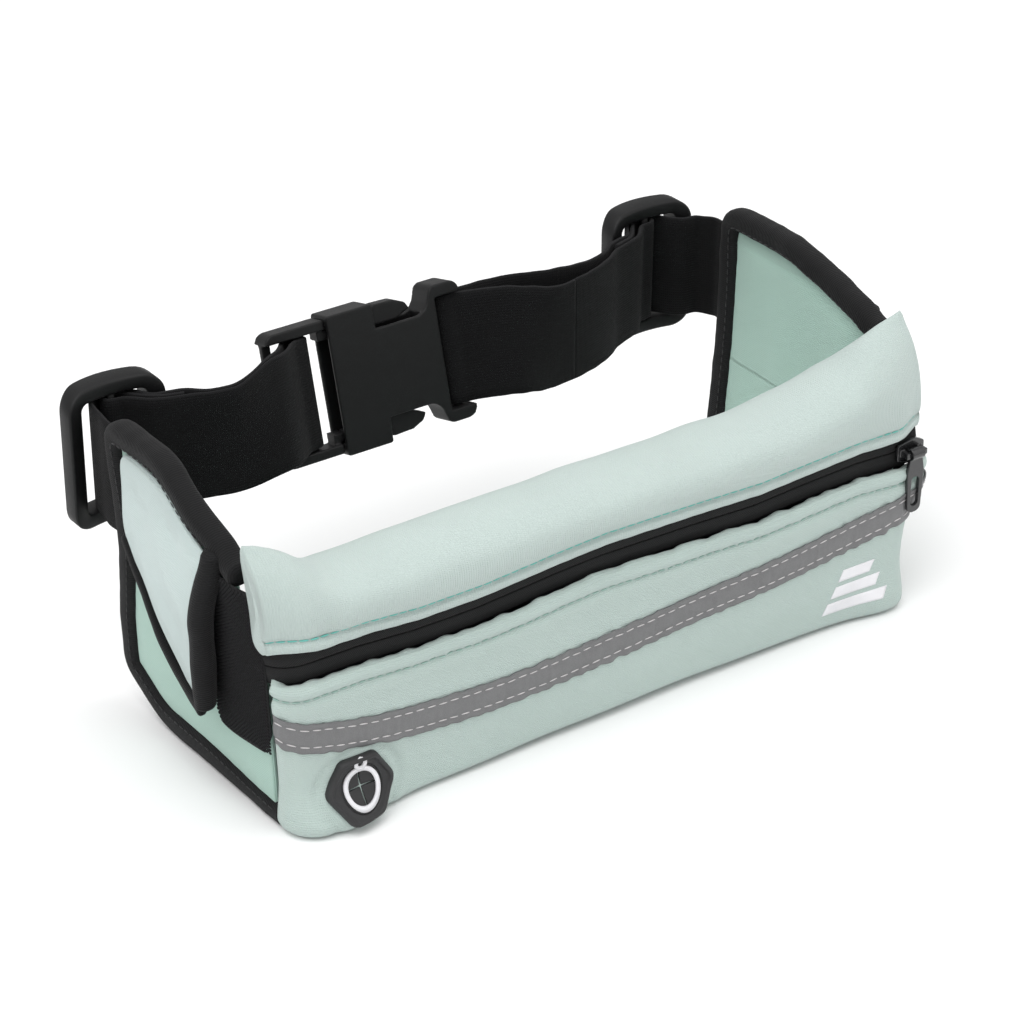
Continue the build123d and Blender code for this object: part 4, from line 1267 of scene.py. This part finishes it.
def slot_ring(long, high, radius):
    """A rounded rectangle of 4 x 19 points."""
    ring = []
    for k, (a, b) in enumerate(((1, 1), (-1, 1), (-1, -1), (1, -1))):
        turn = (k + np.linspace(0, 1, 9)) * math.pi / 2
        ring.append(np.stack([a * (long - radius) + radius * np.cos(turn),
                              b * (high - radius) + radius * np.sin(turn)], -1))
    share = np.linspace(0, 1, 12)[1:-1, None]
    sides = [a[-1] * (1 - share) + b[0] * share for a, b in zip(ring, ring[1:] + ring[:1])]
    return np.vstack([part for pair in zip(ring, sides) for part in pair])


SLOT_IN = np.array([12.4, 20.6, 2.5])      # half length, half height and corner radius
SLOT_OUT = np.array([18.3, 25.6, 7.5])


def adjuster(node, slide, body):
    """A bowed three-bar slide with deep rounded rails, over the solid's own place."""
    rings = []
    front = lambda a: -1.2 + 4.2 * (1 - (a / 18.5) ** 2)
    depth = lambda a: 7.8 + 1.4 * (1 - (a / 18.5) ** 2)
    profile = [  # on the inner outline, drawn into the rail, sunk below its face
        (False, 0.0, 1.0), (False, 0.3, 0.3), (False, 1.0, 0.0), (True, 0.8, 0.0),
        (True, 0.25, 0.25), (True, 0.0, 0.8)]
    for face, order in (("front", 1), ("back", -1)):
        for inner, draw, sink in profile[::order]:
            a, z = slot_ring(*(SLOT_IN + draw if inner else SLOT_OUT - draw)).T
            y = front(a) + (sink if face == "front" else depth(a) - sink)
            rings.append(np.stack([slide[0] + a, slide[1] + y, WEB_Z + z], -1))
    form = Form().grid(np.stack(rings), wrap=True, ring=True)
    turn = np.linspace(0, 2 * math.pi, 17)[:-1]
    bar = [np.stack([slide[0] + 1.5 * np.cos(turn), slide[1] + 4.75 + 1.3 * np.sin(turn),
                     np.full(16, WEB_Z + z)], -1) for z in np.linspace(-22.5, 22.5, 9)]
    form.grid(np.stack(bar), wrap=True).fan(bar[0]).fan(bar[-1])
    settle(form.made(node + "_moulded", black_plastic), body, [node])


adjuster("left_adjuster", LEFT_SLIDE, "left_slide")
adjuster("right_adjuster", RIGHT_SLIDE, "right_slide")
for node, body in (("buckle_plug", "pack"), ("buckle_socket", "socket"),
                   ("prong_upper", "upper_prong"), ("prong_lower", "lower_prong")):
    moulded(node, black_plastic, body)
moulded("zipper_slider", black_enamel, "slider", 0.16, 4)
moulded("zipper_pull", black_enamel, "pull", 0.16, 4)
moulded("zipper_stop_left", black_enamel, "pack", 0.16, 4)


# ---- camera, floor and light -----------------------------------------------------------------
def look_from(thing, target, azimuth, elevation, distance):
    a, e = math.radians(azimuth), math.radians(elevation)
    back = Vector((math.sin(a) * math.cos(e), -math.cos(a) * math.cos(e), math.sin(e)))
    thing.location = Vector(target) + back * distance
    thing.rotation_mode = "QUATERNION"
    thing.rotation_quaternion = (-back).to_track_quat("-Z", "Y")


VIEW = (-35.5, 29, 1.15)    # azimuth and elevation in degrees, distance in metres
LENS = 117.4
target = (np.array([0.0, -7.0, 50.0]) + ORIGIN) / 1000
camera = placed("camera", bpy.data.cameras.new("camera"))
camera.data.lens, camera.data.sensor_width = LENS, 36
camera.data.clip_start = 0.05
look_from(camera, target, *VIEW)
bpy.context.scene.camera = camera

world = bpy.data.worlds.new("studio")
bpy.context.scene.world = world
world.use_nodes = True
sky = world.node_tree.nodes["Background"].inputs
sky["Color"].default_value, sky["Strength"].default_value = (1.0, 1.0, 1.0, 1), 0.62
for name, azimuth, elevation, distance, size, power in (
        ("key", -75, 58, 1.5, 1.3, 10.4), ("top", 20, 82, 1.4, 1.6, 12.0),
        ("fill", 60, 25, 1.7, 1.4, 3.5)):
    lamp = placed(name, bpy.data.lights.new(name, "AREA"))
    lamp.data.size, lamp.data.energy = size, power
    look_from(lamp, target, azimuth, elevation, distance)

floor_mesh = bpy.data.meshes.new("floor")
floor_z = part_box("front_panel")[0].z - 0.0002
floor_mesh.from_pydata([(-9, -9, floor_z), (9, -9, floor_z), (9, 9, floor_z), (-9, 9, floor_z)],
                       [], [(0, 1, 2, 3)])
pale = Paint("pale_floor", Base_Color=(0.93, 0.93, 0.93, 1), Roughness=0.9)
floor_mesh.materials.append(pale.material)
placed("floor", floor_mesh)
bpy.context.scene.view_settings.view_transform = "Standard"
